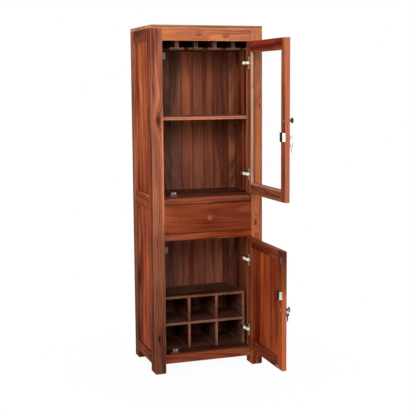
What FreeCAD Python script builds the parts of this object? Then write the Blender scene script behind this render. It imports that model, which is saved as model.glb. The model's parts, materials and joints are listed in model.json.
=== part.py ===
import FreeCAD, Part
import math
import os

# Tall bar cabinet in solid hardwood, standing on its four corner posts.
# Frame: x to the right, y to the back, z up, in millimetres.
# The origin is on the floor, midway between the four posts.
# Both doors are drawn shut and then swung open about their hinge axis.

V = FreeCAD.Vector

# Whole carcass
width = 600.0
depth = 400.0
height = 1800.0
top_thickness = 16.0

# Corner posts
post_width = 60.0
front_post_depth = 75.0
back_post_depth = 60.0
foot_bevel = 6.0

# Joinery
joint_fit = 0.1
tenon_length = 25.0
tenon_thickness = 10.0
tenon_shoulder = 6.0
tongue_length = 8.0
tongue_thickness = 7.0
plank_tongue = 4.0
plank_bevel = 2.5
edge_ease = 1.0
board_fit = 0.5

# Front rails, each by its upper edge and its height
front_rail_thickness = 28.0
top_rail_height = 62.0
upper_rail_top = 927.0
upper_rail_height = 39.0
drawer_opening_height = 148.0
lower_rail_height = 38.0
bottom_rail_top = 97.0
bottom_rail_height = 44.0

# Side frames
side_rail_thickness = 25.0
side_top_rail_height = 59.0
side_middle_rail_rise = 9.0
side_middle_rail_height = 74.0
side_bottom_rail_height = 53.0
side_plank_recess = 10.0
side_plank_shares = (117.0, 88.0, 60.0)

# Back frame
back_rail_inset = 10.0
back_rail_thickness = 30.0
back_plank_thickness = 14.0
back_plank_shares = (80.0, 64.0, 64.0, 64.0, 64.0, 58.0, 53.0, 33.0)
back_top_rail_height = 62.0
back_middle_rail_height = 65.0
back_bottom_rail_height = 53.0

# Boards between the frames
board_thickness = 16.0
ceiling_thickness = 12.0
ceiling_lip = 6.0
dust_board_drop = 2.0
cleat_width = 18.0
cleat_height = 18.0

# Shelf in the upper compartment
shelf_above_middle = 8.5
shelf_thickness = 16.0
shelf_front_setback = 80.0

# Hanging rails for stemmed glasses
glass_rail_count = 4
glass_rail_pitch = 101.5
glass_slot = 26.0
glass_slat_thickness = 9.0
glass_batten_width = 18.0
glass_batten_height = 40.0
glass_rail_setback = 32.0
glass_slat_bevel = 3.0

# Bottle rack in the lower compartment
rack_columns = 3
rack_board_thickness = 12.0
rack_rise = 287.0
rack_shelf_rise = 144.0
rack_front_setback = 104.0
rack_side_gap = 1.5
rack_dado = 4.0

# Doors
door_thickness = 24.0
door_side_gap = 2.0
door_top_gap = 2.0
door_bottom_gap = 8.0
door_edge_ease = 1.5
hinge_axis_from_opening = 0.5
hinge_axis_from_face = 0.5
upper_door_open = 90.6
lower_door_open = 89.0

# Glazed upper door
upper_stile_width = 50.0
upper_rail_width = 57.0
glass_thickness = 4.0
glass_lip = 8.0
glass_rebate = 8.0
glass_edge_gap = 1.0
upper_tenon_thickness = 7.0
upper_tenon_length = 18.0

# Panelled lower door
lower_stile_width = 58.0
lower_top_rail_width = 48.0
lower_bottom_rail_width = 56.0
door_panel_thickness = 12.0
door_plank_shares = (123.0, 130.0, 107.0)

# Concealed hinges
hinge_from_door_top = (109.0, 120.0)
hinge_from_door_bottom = (99.5, 97.5)
cup_diameter = 35.0
cup_depth = 12.0
cup_wall = 0.8
cup_edge_distance = 3.5
cup_flange_length = 62.0
cup_flange_width = 18.0
cup_flange_thickness = 1.2
cup_fit = 0.1
link_pin_from_opening = 29.0
link_pin_behind_door = 11.0
link_pin_radius = 2.0
link_pin_fit = 0.05
link_eye_radius = 4.0
link_thickness = 3.0
link_half_height = 7.0
link_hook = 7.0
link_bend = 1.5
link_seat_gap = 0.3
arm_web_gap = 4.5
arm_wall = 1.5
arm_half_height = 9.0
arm_length = 29.0
arm_depth = 17.0
hinge_plate_thickness = 3.0
hinge_plate_half_height = 24.0
hinge_plate_width = 26.0
hinge_pillar_half_height = 6.5
hinge_screw_spread = 18.0

# Screws
screw_head_radius = 3.6
screw_head_height = 1.6
screw_shank_radius = 1.7
screw_length = 14.0
screw_fit = 0.05

# Turned knobs
knob_length = 24.0
knob_radius = 14.0
knob_neck_radius = 6.5
knob_neck_length = 13.5
knob_foot_flare = 2.0
knob_foot_length = 2.0
knob_rim = 2.5
knob_dome = 3.5
knob_edge_distance = 18.0
knob_screw_radius = 2.0
knob_screw_depth = 16.0
upper_knob_above_middle = 1.5
lower_knob_above_middle = 5.0

# Rim locks with a sliding bolt
lock_width = 32.0
lock_height = 45.0
lock_thickness = 15.0
lock_edge_gap = 1.5
lock_corner = 3.0
lock_barrel_radius = 8.0
lock_rosette_radius = 11.0
lock_rosette_thickness = 2.0
lock_plug_radius = 5.0
lock_plug_fit = 0.08
lock_cylinder_distance = 18.0
lock_plug_seat = 3.0
bolt_thickness = 7.0
bolt_half_height = 9.0
bolt_end_wall = 5.4
bolt_throw = 9.0
bolt_fit = 0.3
bolt_face_distance = 4.5
strike_plate_thickness = 1.2
strike_plate_half_height = 22.0
strike_plate_width = 22.0
strike_pocket_clearance = 3.0
strike_pocket_margin = 2.0
upper_lock_below_knob = 79.0
lower_lock_above_knob = 75.0

# Keys and their rings
key_thickness = 2.0
key_blade_width = 6.0
key_tip_gap = 2.0
key_bow_radius = 9.0
key_hole_radius = 2.2
key_hole_offset = 5.0
key_stem_gap = 2.0
key_slot_fit = 0.15
key_ring_wire = 0.8
key_ring_hang = 1.1
upper_ring_radius = 18.0
lower_ring_radius = 13.2
lower_ring_standoff = 12.0
ring_on_neck_gap = 0.3

# Magnetic catches and their strikes
catch_length = 54.0
catch_body_length = 32.0
catch_depth = 17.0
catch_height = 24.0
catch_base = 2.5
catch_pole_length = 2.0
catch_pole_rise = 19.0
catch_pole_height = 8.0
catch_pole_thickness = 2.5
catch_pole_spread = 6.0
strike_length = 34.0
strike_width = 13.0
strike_thickness = 1.2
catch_gap = 0.3
upper_floor_catch_x = -180.0
lower_floor_catch_x = -180.0
upper_wall_catch_drop = 74.0
lower_wall_catch_drop = 48.0

# Drawer
drawer_side_gap = 2.0
drawer_top_gap = 2.0
drawer_bottom_gap = 2.0
drawer_front_thickness = 22.0
drawer_side_thickness = 12.0
drawer_side_inset = 12.0
drawer_box_height = 112.0
drawer_back_gap = 38.0
drawer_bottom_thickness = 6.0
drawer_bottom_rise = 12.0
drawer_groove = 5.0
drawer_lap = 8.0
runner_thickness = 8.0
runner_tread = 20.0
runner_clearance = 0.5
guide_height = 22.0
kicker_width = 36.0

# Derived planes of the carcass
half_width = width / 2
front_face = -depth / 2
back_face = depth / 2
post_inner = half_width - post_width
front_post_rear = front_face + front_post_depth
back_post_front = back_face - back_post_depth
post_top = height - top_thickness
front_rail_rear = front_face + front_rail_thickness
side_plank_thickness = side_rail_thickness - side_plank_recess
side_plank_outer = half_width - side_plank_recess
side_plank_inner = side_plank_outer - side_plank_thickness
back_inner = back_face - back_rail_inset - back_rail_thickness
back_rail_rear = back_face - back_rail_inset
door_rear = front_face + door_thickness
door_half = post_inner - door_side_gap
hinge_x = post_inner + hinge_axis_from_opening
hinge_y = front_face + hinge_axis_from_face
top_rail_bottom = post_top - top_rail_height
upper_rail_bottom = upper_rail_top - upper_rail_height
lower_rail_top = upper_rail_bottom - drawer_opening_height
lower_rail_bottom = lower_rail_top - lower_rail_height
upper_door_bottom = upper_rail_top + door_bottom_gap
upper_door_top = top_rail_bottom - door_top_gap
lower_door_bottom = bottom_rail_top + door_bottom_gap
lower_door_top = lower_rail_bottom - door_top_gap
side_middle_rail_top = upper_rail_top + side_middle_rail_rise
side_bottom_rail_top = bottom_rail_top
ceiling_height = top_rail_bottom + ceiling_lip
dust_board_top = lower_rail_top - dust_board_drop
shelf_top = (upper_rail_top + ceiling_height) / 2 + shelf_above_middle
rack_top_height = bottom_rail_top + rack_rise
rack_shelf_height = bottom_rail_top + rack_shelf_rise
upper_hinge_heights = (upper_door_top - hinge_from_door_top[0],
                       upper_door_bottom + hinge_from_door_bottom[0])
lower_hinge_heights = (lower_door_top - hinge_from_door_top[1],
                       lower_door_bottom + hinge_from_door_bottom[1])
upper_knob_height = (upper_door_bottom + upper_door_top) / 2 + upper_knob_above_middle
lower_knob_height = (lower_door_bottom + lower_door_top) / 2 + lower_knob_above_middle
upper_lock_height = upper_knob_height - upper_lock_below_knob
lower_lock_height = lower_knob_height + lower_lock_above_knob
upper_wall_catch_height = upper_door_top - upper_wall_catch_drop
lower_wall_catch_height = lower_door_top - lower_wall_catch_drop
bolt_length = lock_width - bolt_end_wall - 2 * bolt_fit
strike_pocket_depth = bolt_throw + strike_pocket_clearance
key_blade_length = lock_rosette_thickness + door_thickness + key_stem_gap - key_tip_gap


# Small building blocks

def box(x0, x1, y0, y1, z0, z1):
    """Block between two corners."""
    return Part.makeBox(x1 - x0, y1 - y0, z1 - z0, V(x0, y0, z0))


def mirrored(shape):
    """The same piece on the other side of the cabinet."""
    return shape.mirror(V(0, 0, 0), V(1, 0, 0))


def eased(shape, size=edge_ease):
    """Break every sharp edge of a plain board with a small bevel."""
    return shape.makeChamfer(size, shape.Edges)


def rod(radius, length, start, direction):
    """Round bar from a point along a direction."""
    return Part.makeCylinder(radius, length, start, direction)


def prism(points, z0, z1):
    """Upright prism over an outline in plan."""
    corners = [V(x, y, z0) for x, y in points]
    outline = Part.makePolygon(corners + corners[:1])
    return Part.Face(outline).extrude(V(0, 0, z1 - z0))


def swing(shape, angle):
    """Open a door piece, drawn shut, about the hinge axis."""
    turned = shape.copy()
    turned.rotate(V(hinge_x, hinge_y, 0), V(0, 0, 1), angle)
    return turned


def screw(start, direction, length, head=screw_head_radius, shank=screw_shank_radius):
    """Round-headed screw whose head sits outside the start point."""
    shaft = rod(shank, length, start, direction)
    cap = rod(head, screw_head_height, start, direction.negative())
    return shaft.fuse(cap).removeSplitter()


def screw_hole(start, direction, length, shank=screw_shank_radius):
    """Hole that a screw of the same start, direction and length sits in."""
    return rod(shank + screw_fit, length + screw_fit, start, direction)


def save(name, *solids):
    """Write one node, made of one or more separate solids."""
    shape = solids[0] if len(solids) == 1 else Part.makeCompound(list(solids))
    shape.exportStep("parts/" + name + ".step")
    print(name, len(shape.Solids), "valid" if shape.isValid() else "NOT VALID")


# Rails with tenons, and the mortises that take them

def front_rail(z0, z1):
    """Rail between the front posts with a stub tenon at each end."""
    middle = (front_face + front_rail_rear) / 2
    body = eased(box(-post_inner, post_inner, front_face, front_rail_rear, z0, z1))
    tenon = box(-post_inner - tenon_length, post_inner + tenon_length,
                middle - tenon_thickness / 2, middle + tenon_thickness / 2,
                z0 + tenon_shoulder, z1 - tenon_shoulder)
    return body.fuse(tenon).removeSplitter()


def front_mortise(z0, z1):
    """Cut for the tenons of a front rail, through both posts."""
    middle = (front_face + front_rail_rear) / 2
    half = tenon_thickness / 2 + joint_fit
    reach = post_inner + tenon_length + joint_fit
    return box(-reach, reach, middle - half, middle + half,
               z0 + tenon_shoulder - joint_fit, z1 - tenon_shoulder + joint_fit)


def back_rail(z0, z1):
    """Rail between the back posts, grooved where planks enter it."""
    middle = (back_inner + back_rail_rear) / 2
    body = eased(box(-post_inner, post_inner, back_inner, back_rail_rear, z0, z1))
    tenon = box(-post_inner - tenon_length, post_inner + tenon_length,
                middle - tenon_thickness / 2, middle + tenon_thickness / 2,
                z0 + tenon_shoulder, z1 - tenon_shoulder)
    return body.fuse(tenon).removeSplitter()


def back_mortise(z0, z1):
    """Cut for the tenons of a back rail."""
    middle = (back_inner + back_rail_rear) / 2
    half = tenon_thickness / 2 + joint_fit
    reach = post_inner + tenon_length + joint_fit
    return box(-reach, reach, middle - half, middle + half,
               z0 + tenon_shoulder - joint_fit, z1 - tenon_shoulder + joint_fit)


def side_rail(z0, z1):
    """Right-hand rail between the front and the back post."""
    inner = half_width - side_rail_thickness
    middle = half_width - side_rail_thickness / 2
    body = eased(box(inner, half_width, front_post_rear, back_post_front, z0, z1))
    tenon = box(middle - tenon_thickness / 2, middle + tenon_thickness / 2,
                front_post_rear - tenon_length, back_post_front + tenon_length,
                z0 + tenon_shoulder, z1 - tenon_shoulder)
    return body.fuse(tenon).removeSplitter()


def side_mortise(z0, z1):
    """Cut for the tenons of a right-hand side rail."""
    middle = half_width - side_rail_thickness / 2
    half = tenon_thickness / 2 + joint_fit
    return box(middle - half, middle + half,
               front_post_rear - tenon_length - joint_fit,
               back_post_front + tenon_length + joint_fit,
               z0 + tenon_shoulder - joint_fit, z1 - tenon_shoulder + joint_fit)


# Heights of the rails and of the plank bays between them
side_bottom_rail_bottom = side_bottom_rail_top - side_bottom_rail_height
side_middle_rail_bottom = side_middle_rail_top - side_middle_rail_height
side_top_rail_bottom = post_top - side_top_rail_height
back_middle_rail_bottom = upper_rail_top - back_middle_rail_height
back_top_rail_bottom = post_top - back_top_rail_height

front_rail_spans = {
    "front_top_rail": (top_rail_bottom, post_top),
    "front_upper_rail": (upper_rail_bottom, upper_rail_top),
    "front_lower_rail": (lower_rail_bottom, lower_rail_top),
    "front_bottom_rail": (bottom_rail_top - bottom_rail_height, bottom_rail_top),
}
side_rail_spans = (
    (side_top_rail_bottom, post_top),
    (side_middle_rail_bottom, side_middle_rail_top),
    (side_bottom_rail_bottom, side_bottom_rail_top),
)
back_rail_spans = (
    (back_top_rail_bottom, post_top),
    (back_middle_rail_bottom, upper_rail_top),
    (bottom_rail_top - back_bottom_rail_height, bottom_rail_top),
)
side_bays = (
    (side_middle_rail_top, side_top_rail_bottom),
    (side_bottom_rail_top, side_middle_rail_bottom),
)
back_bays = (
    (upper_rail_top, back_top_rail_bottom),
    (bottom_rail_top, back_middle_rail_bottom),
)


# Tongued and grooved planks

def plank_outline(edges, index, thick, end_tongue):
    """Section of one plank, u across the wall and v from its shown face."""
    left = edges[index]
    right = edges[index + 1]
    low = (thick - tongue_thickness) / 2
    high = (thick + tongue_thickness) / 2
    mid_low = thick / 2 - plank_tongue / 2
    mid_high = thick / 2 + plank_tongue / 2
    first = index == 0
    last = index == len(edges) - 2
    points = [(left + plank_bevel, 0), (right - plank_bevel, 0), (right, plank_bevel)]
    if last:
        points += [(right, low), (right + end_tongue, low)]
        points += [(right + end_tongue, high), (right, high)]
    else:
        tip = right + plank_tongue
        points += [(right, mid_low), (tip, mid_low), (tip, mid_high), (right, mid_high)]
    points += [(right, thick), (left, thick)]
    if first:
        points += [(left, high), (left - end_tongue, high)]
        points += [(left - end_tongue, low), (left, low)]
    else:
        root = left + plank_tongue + joint_fit
        points += [(left, mid_high + joint_fit), (root, mid_high + joint_fit)]
        points += [(root, mid_low - joint_fit), (left, mid_low - joint_fit)]
    points.append((left, plank_bevel))
    return points


def planks(start, end, shares, thick, z0, z1, end_tongue):
    """A row of planks of uneven widths with tongues all round, u along the wall."""
    count = len(shares)
    edges = [start + (end - start) * sum(shares[:i]) / sum(shares) for i in range(count + 1)]
    low = (thick - tongue_thickness) / 2
    high = (thick + tongue_thickness) / 2
    row = []
    for i in range(count):
        body = prism(plank_outline(edges, i, thick, end_tongue), z0, z1)
        left = edges[i] + (plank_tongue + 2 * joint_fit if i else 0)
        ends = box(left, edges[i + 1], low, high, z0 - end_tongue, z1 + end_tongue)
        row.append(body.fuse(ends).removeSplitter())
    return row


def placed(solids, origin, u_axis, v_axis):
    """Set a row of planks with u and v along two level directions."""
    matrix = FreeCAD.Matrix()
    matrix.A11, matrix.A21 = u_axis
    matrix.A12, matrix.A22 = v_axis
    matrix.A14, matrix.A24 = origin
    return [s.transformGeometry(matrix) for s in solids]


def side_planks(z0, z1):
    """Planks of one bay of the right-hand side, shown face outward."""
    tongue = tongue_length - joint_fit
    row = planks(front_post_rear, back_post_front, side_plank_shares,
                 side_plank_thickness, z0, z1, tongue)
    return placed(row, (side_plank_outer, 0), (0, 1), (-1, 0))


def back_planks(z0, z1):
    """Planks of one bay of the back, shown face towards the inside."""
    tongue = tongue_length - joint_fit
    row = planks(-post_inner, post_inner, back_plank_shares,
                 back_plank_thickness, z0, z1, tongue)
    return placed(row, (0, back_inner), (1, 0), (0, 1))


def side_groove(z0, z1):
    """Groove round one side bay, in its posts and rails."""
    middle = side_plank_outer - side_plank_thickness / 2
    half = tongue_thickness / 2 + joint_fit
    return box(middle - half, middle + half,
               front_post_rear - tongue_length, back_post_front + tongue_length,
               z0 - tongue_length, z1 + tongue_length)


def back_groove(z0, z1):
    """Groove round one back bay, in its posts and rails."""
    middle = back_inner + back_plank_thickness / 2
    half = tongue_thickness / 2 + joint_fit
    return box(-post_inner - tongue_length, post_inner + tongue_length,
               middle - half, middle + half, z0 - tongue_length, z1 + tongue_length)


# Lock geometry shared by the post, the doors and the locks
lock_x = -door_half + lock_cylinder_distance
lock_free_side = -door_half + lock_edge_gap
bolt_y0 = door_rear + bolt_face_distance
bolt_y1 = bolt_y0 + bolt_thickness
bolt_middle = (bolt_y0 + bolt_y1) / 2


def strike_pocket(lock_height_z):
    """Pocket in the left post for a bolt, with the seat of its plate."""
    half = bolt_half_height + strike_pocket_margin
    pocket = box(-post_inner - strike_pocket_depth, -post_inner,
                 bolt_y0 - strike_pocket_margin, bolt_y1 + strike_pocket_margin,
                 lock_height_z - half, lock_height_z + half)
    seat = box(-post_inner - strike_plate_thickness, -post_inner,
               bolt_middle - strike_plate_width / 2, bolt_middle + strike_plate_width / 2,
               lock_height_z - strike_plate_half_height,
               lock_height_z + strike_plate_half_height)
    return pocket.fuse(seat)


def lock_strike_plate(lock_height_z):
    """Thin plate let into the left post, slotted for the bolt."""
    plate = box(-post_inner - strike_plate_thickness, -post_inner,
                bolt_middle - strike_plate_width / 2, bolt_middle + strike_plate_width / 2,
                lock_height_z - strike_plate_half_height,
                lock_height_z + strike_plate_half_height)
    half = bolt_half_height + strike_pocket_margin
    slot = box(-post_inner - strike_plate_thickness, -post_inner,
               bolt_y0 - strike_pocket_margin, bolt_y1 + strike_pocket_margin,
               lock_height_z - half, lock_height_z + half)
    return plate.cut(slot)


# Concealed hinges: places of the arm, the plate and the link
link_pin_x = post_inner - link_pin_from_opening
link_pin_y = door_rear + link_pin_behind_door
arm_web_outer = link_pin_x - arm_web_gap - arm_wall
arm_front = link_pin_y - link_eye_radius - 2 * joint_fit
arm_web_front = link_pin_y + link_eye_radius + arm_wall
arm_rear = arm_web_front + arm_length
plate_middle = (arm_web_front + arm_rear) / 2
hinge_heights = upper_hinge_heights + lower_hinge_heights


def hinge_arm(z):
    """Pressed channel on the mounting plate, with the pin of the link."""
    outer = box(arm_web_outer, arm_web_outer + arm_depth, arm_front, arm_rear,
                z - arm_half_height, z + arm_half_height)
    inner_half = arm_half_height - arm_wall
    hollow = box(arm_web_outer + arm_wall, arm_web_outer + arm_depth, arm_front, arm_rear,
                 z - inner_half, z + inner_half)
    mouth = box(arm_web_outer, arm_web_outer + arm_depth, arm_front, arm_web_front,
                z - inner_half, z + inner_half)
    pin = rod(link_pin_radius, 2 * arm_half_height,
              V(link_pin_x, link_pin_y, z - arm_half_height), V(0, 0, 1))
    return outer.cut(hollow).cut(mouth).fuse(pin).removeSplitter()


def hinge_plate(z):
    """Mounting plate on the post with the pillar that the arm clips over."""
    base = box(post_inner - hinge_plate_thickness, post_inner,
               plate_middle - hinge_plate_width / 2, plate_middle + hinge_plate_width / 2,
               z - hinge_plate_half_height, z + hinge_plate_half_height)
    base = base.makeFillet(4.0, [e for e in base.Edges
                                 if abs(e.Vertexes[0].X - e.Vertexes[1].X) > 1])
    pillar = box(arm_web_outer + arm_wall + joint_fit, post_inner - hinge_plate_thickness,
                 arm_web_front + arm_wall, arm_rear,
                 z - hinge_pillar_half_height, z + hinge_pillar_half_height)
    plate = base.fuse(pillar).removeSplitter()
    for side in (-1, 1):
        plate = plate.cut(screw_hole(*plate_screw_place(z, side)))
    return plate


def plate_screw_place(z, side):
    """Start, direction and length of one screw of a mounting plate."""
    start = V(post_inner - hinge_plate_thickness, plate_middle,
              z + side * hinge_screw_spread)
    return start, V(1, 0, 0), screw_length


cup_x = door_half - cup_edge_distance - cup_diameter / 2


def hinge_link(z, door_angle):
    """Bent link, drawn with the door shut, that hooks into the cup of the open door."""
    pin_dx = link_pin_x - hinge_x
    pin_dy = link_pin_y - hinge_y
    turn = math.radians(-door_angle)
    pin_x = hinge_x + pin_dx * math.cos(turn) - pin_dy * math.sin(turn)
    pin_y = hinge_y + pin_dx * math.sin(turn) + pin_dy * math.cos(turn)
    cup_inner = cup_diameter / 2 - cup_wall
    seat_x = cup_x + math.sqrt(cup_inner ** 2 - link_half_height ** 2) - link_seat_gap
    tip_y = door_rear - link_hook
    half = link_thickness / 2
    outline = [(pin_x, pin_y + half), (seat_x - link_thickness + link_bend, pin_y + half),
               (seat_x - link_thickness, pin_y + half - link_bend),
               (seat_x - link_thickness, tip_y), (seat_x, tip_y),
               (seat_x, pin_y - half), (pin_x, pin_y - half)]
    strip = prism(outline, z - link_half_height, z + link_half_height)
    start = V(pin_x, pin_y, z - link_half_height)
    eye = rod(link_eye_radius, 2 * link_half_height, start, V(0, 0, 1))
    bore = rod(link_pin_radius + link_pin_fit, 2 * link_half_height, start, V(0, 0, 1))
    return strip.fuse(eye).removeSplitter().cut(bore)


def cup_screw_place(z, side):
    """Start, direction and length of one screw of a hinge cup."""
    spread = (cup_diameter / 2 + cup_flange_length / 2) / 2
    start = V(cup_x, door_rear + cup_flange_thickness, z + side * spread)
    return start, V(0, -1, 0), screw_length


def hinge_cup(z):
    """Pressed cup with its flange, on the rear face of a shut door."""
    radius = cup_diameter / 2
    shell = rod(radius, cup_depth, V(cup_x, door_rear, z), V(0, -1, 0))
    flange = box(cup_x - cup_flange_width / 2, cup_x + cup_flange_width / 2,
                 door_rear, door_rear + cup_flange_thickness,
                 z - cup_flange_length / 2, z + cup_flange_length / 2)
    ring = rod(radius, cup_flange_thickness, V(cup_x, door_rear, z), V(0, 1, 0))
    mouth = rod(radius - cup_wall, cup_depth - cup_wall + cup_flange_thickness,
                V(cup_x, door_rear + cup_flange_thickness, z), V(0, -1, 0))
    cup = shell.fuse(flange).fuse(ring).cut(mouth).removeSplitter()
    for side in (-1, 1):
        cup = cup.cut(screw_hole(*cup_screw_place(z, side)))
    return cup


def cup_bore(z):
    """Blind bore in the stile for a hinge cup, with its screw holes."""
    bore = rod(cup_diameter / 2 + cup_fit, cup_depth + cup_fit,
               V(cup_x, door_rear, z), V(0, -1, 0))
    for side in (-1, 1):
        bore = bore.fuse(screw_hole(*cup_screw_place(z, side)))
    return bore


# Corner posts

def post(y0, y1):
    """Right-hand post with a bevelled foot, standing on the floor."""
    body = box(post_inner, half_width, y0, y1, 0, post_top)
    foot = [e for e in body.Edges if e.BoundBox.ZMax < foot_bevel]
    body = body.makeChamfer(foot_bevel, foot)
    upright = [e for e in body.Edges if e.Length > post_top / 2]
    return body.makeChamfer(edge_ease, upright)


def jointed_post(y0, y1):
    """Right-hand post with every mortise and groove that reaches it."""
    body = post(y0, y1)
    for span in front_rail_spans.values():
        body = body.cut(front_mortise(*span))
    for span in back_rail_spans:
        body = body.cut(back_mortise(*span))
    for span in side_rail_spans:
        body = body.cut(side_mortise(*span))
    for bay in side_bays:
        body = body.cut(side_groove(*bay))
    for bay in back_bays:
        body = body.cut(back_groove(*bay))
    return body


def front_post_right():
    """Front post that carries the hinges."""
    body = jointed_post(front_face, front_post_rear)
    for z in hinge_heights:
        for side in (-1, 1):
            body = body.cut(screw_hole(*plate_screw_place(z, side)))
    return body


def front_post_left():
    """Front post with the pockets for the two lock bolts."""
    body = mirrored(jointed_post(front_face, front_post_rear))
    for z in (upper_lock_height, lower_lock_height):
        body = body.cut(strike_pocket(z))
    return body


def side_rails():
    """The six rails of the two side frames."""
    rails = []
    for span in side_rail_spans:
        rail = side_rail(*span)
        for bay in side_bays:
            rail = rail.cut(side_groove(*bay))
        rails += [rail, mirrored(rail)]
    return rails


def back_rails():
    """The three rails of the back frame."""
    rails = []
    for span in back_rail_spans:
        rail = back_rail(*span)
        for bay in back_bays:
            rail = rail.cut(back_groove(*bay))
        rails.append(rail)
    return rails


# Level boards and what carries them

def level_board(z_top, thick):
    """Board that fills the plan of the carcass, notched round the posts."""
    wall = side_plank_inner - board_fit
    narrow = post_inner - board_fit
    front = front_rail_rear + board_fit
    back = back_inner - board_fit
    front_notch = front_post_rear + board_fit
    back_notch = back_post_front - board_fit
    right = [(narrow, front), (narrow, front_notch), (wall, front_notch),
             (wall, back_notch), (narrow, back_notch), (narrow, back)]
    left = [(-x, y) for x, y in reversed(right)]
    return prism(right + left, z_top - thick, z_top)


def cleat(z_top):
    """Batten under one end of a board, on the right-hand side wall."""
    return box(side_plank_inner - cleat_width, side_plank_inner,
               front_post_rear + board_fit, back_post_front - board_fit,
               z_top - cleat_height, z_top)


shelf_front = front_face + shelf_front_setback


def upper_shelf():
    """Loose shelf from wall to wall, between the posts."""
    wall = side_plank_inner - board_fit
    shelf = box(-wall, wall, shelf_front, back_post_front - board_fit,
                shelf_top - shelf_thickness, shelf_top)
    return eased(shelf)


def board_cleats():
    """Pairs of battens under the two floors, the dust board and the shelf."""
    undersides = (upper_rail_top - board_thickness, dust_board_top - board_thickness,
                  bottom_rail_top - board_thickness, shelf_top - shelf_thickness)
    pieces = []
    for z in undersides:
        batten = cleat(z)
        pieces += [batten, mirrored(batten)]
    return pieces


# Hanging rails for glasses
glass_batten_bottom = ceiling_height - glass_batten_height
glass_rail_front = front_face + glass_rail_setback
glass_rail_rear = back_inner - board_fit
glass_slat_width = glass_rail_pitch - glass_slot
wall_slat_inner = glass_rail_pitch * (glass_rail_count - 1) / 2 + glass_rail_pitch / 2 + glass_slot / 2
glass_rail_centres = [glass_rail_pitch * (i - (glass_rail_count - 1) / 2)
                      for i in range(glass_rail_count)]


def glass_battens():
    """Stems of the hanging rails, two of them against the side walls."""
    def batten(x0, x1, y0, y1):
        return box(x0, x1, y0, y1, glass_batten_bottom, ceiling_height)
    half = glass_batten_width / 2
    stems = [batten(x - half, x + half, glass_rail_front, glass_rail_rear)
             for x in glass_rail_centres]
    edge = batten(side_plank_inner - glass_batten_width, side_plank_inner,
                  front_post_rear + board_fit, back_post_front - board_fit)
    return stems + [edge, mirrored(edge)]


def glass_slat(x0, x1, y0, y1):
    """Flat slat under a stem, bevelled along its upper long edges."""
    low = glass_batten_bottom - glass_slat_thickness
    slat = box(x0, x1, y0, y1, low, glass_batten_bottom)
    long_edges = [e for e in slat.Edges
                  if e.Length > (y1 - y0) * 0.99 and e.BoundBox.ZMin < low + 0.1]
    return slat.makeChamfer(glass_slat_bevel, long_edges)


def glass_slats():
    """Slats that carry the feet of the glasses."""
    half = glass_slat_width / 2
    slats = [glass_slat(x - half, x + half, glass_rail_front, glass_rail_rear)
             for x in glass_rail_centres]
    edge = glass_slat(wall_slat_inner, side_plank_inner,
                      front_post_rear + board_fit, back_post_front - board_fit)
    return slats + [edge, mirrored(edge)]


# Bottle rack
rack_half = post_inner - rack_side_gap
rack_front = front_face + rack_front_setback
rack_rear = back_inner - board_fit
rack_pitch = (2 * rack_half - rack_board_thickness) / rack_columns
rack_uprights_x = [-rack_half + rack_board_thickness / 2 + rack_pitch * i
                   for i in range(rack_columns + 1)]
rack_middle = (rack_front + rack_rear) / 2


def rack_upright(x, inner):
    """Upright board, slotted from the front where the shelf crosses it."""
    half = rack_board_thickness / 2
    board = box(x - half, x + half, rack_front, rack_rear,
                bottom_rail_top, rack_top_height - rack_board_thickness)
    low = rack_shelf_height - rack_board_thickness - joint_fit
    high = rack_shelf_height + joint_fit
    if inner:
        return board.cut(box(x - half, x + half, rack_front, rack_middle + joint_fit, low, high))
    side = 1 if x > 0 else -1
    face = x - side * half
    depth_x = face + side * (rack_dado + joint_fit)
    return board.cut(box(min(face, depth_x), max(face, depth_x), rack_front, rack_rear, low, high))


def rack_uprights():
    """The two ends and the dividers of the rack."""
    last = len(rack_uprights_x) - 1
    return [rack_upright(x, 0 < i < last) for i, x in enumerate(rack_uprights_x)]


def rack_top():
    """Board that covers the rack."""
    return eased(box(-rack_half, rack_half, rack_front, rack_rear,
                     rack_top_height - rack_board_thickness, rack_top_height), 0.6)


def rack_shelf():
    """Shelf halved over the dividers and housed in the two ends."""
    half = rack_board_thickness / 2
    reach = rack_half - rack_board_thickness + rack_dado
    shelf = box(-reach, reach, rack_front, rack_rear,
                rack_shelf_height - rack_board_thickness, rack_shelf_height)
    for x in rack_uprights_x[1:-1]:
        shelf = shelf.cut(box(x - half - joint_fit, x + half + joint_fit, rack_middle, rack_rear,
                              rack_shelf_height - rack_board_thickness, rack_shelf_height))
    return shelf


# Drawer and its runners
drawer_z0 = lower_rail_top + drawer_bottom_gap
drawer_z1 = upper_rail_bottom - drawer_top_gap
drawer_half = post_inner - drawer_side_gap
drawer_box_half = drawer_half - drawer_side_inset + drawer_side_thickness / 2
drawer_front_rear = front_face + drawer_front_thickness
drawer_rear = back_inner - drawer_back_gap
drawer_box_z0 = dust_board_top + runner_thickness + runner_clearance
drawer_box_z1 = drawer_box_z0 + drawer_box_height
drawer_inner_half = drawer_box_half - drawer_side_thickness
drawer_bottom_z = drawer_box_z0 + drawer_bottom_rise


def drawer_side():
    """Right-hand drawer side, let into the front and grooved for the bottom."""
    side = box(drawer_inner_half, drawer_box_half, drawer_front_rear - drawer_lap, drawer_rear,
               drawer_box_z0, drawer_box_z1)
    groove = box(drawer_inner_half, drawer_inner_half + drawer_groove + joint_fit,
                 drawer_front_rear - drawer_lap, drawer_rear,
                 drawer_bottom_z - joint_fit,
                 drawer_bottom_z + drawer_bottom_thickness + joint_fit)
    return side.cut(groove)


def drawer_back():
    """Back of the drawer, standing on the bottom board."""
    return box(-drawer_inner_half, drawer_inner_half,
               drawer_rear - drawer_side_thickness, drawer_rear,
               drawer_bottom_z + drawer_bottom_thickness, drawer_box_z1)


def drawer_bottom():
    """Thin bottom board in the grooves of the sides and the front."""
    reach = drawer_inner_half + drawer_groove
    return box(-reach, reach, drawer_front_rear - drawer_groove, drawer_rear,
               drawer_bottom_z, drawer_bottom_z + drawer_bottom_thickness)


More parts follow.
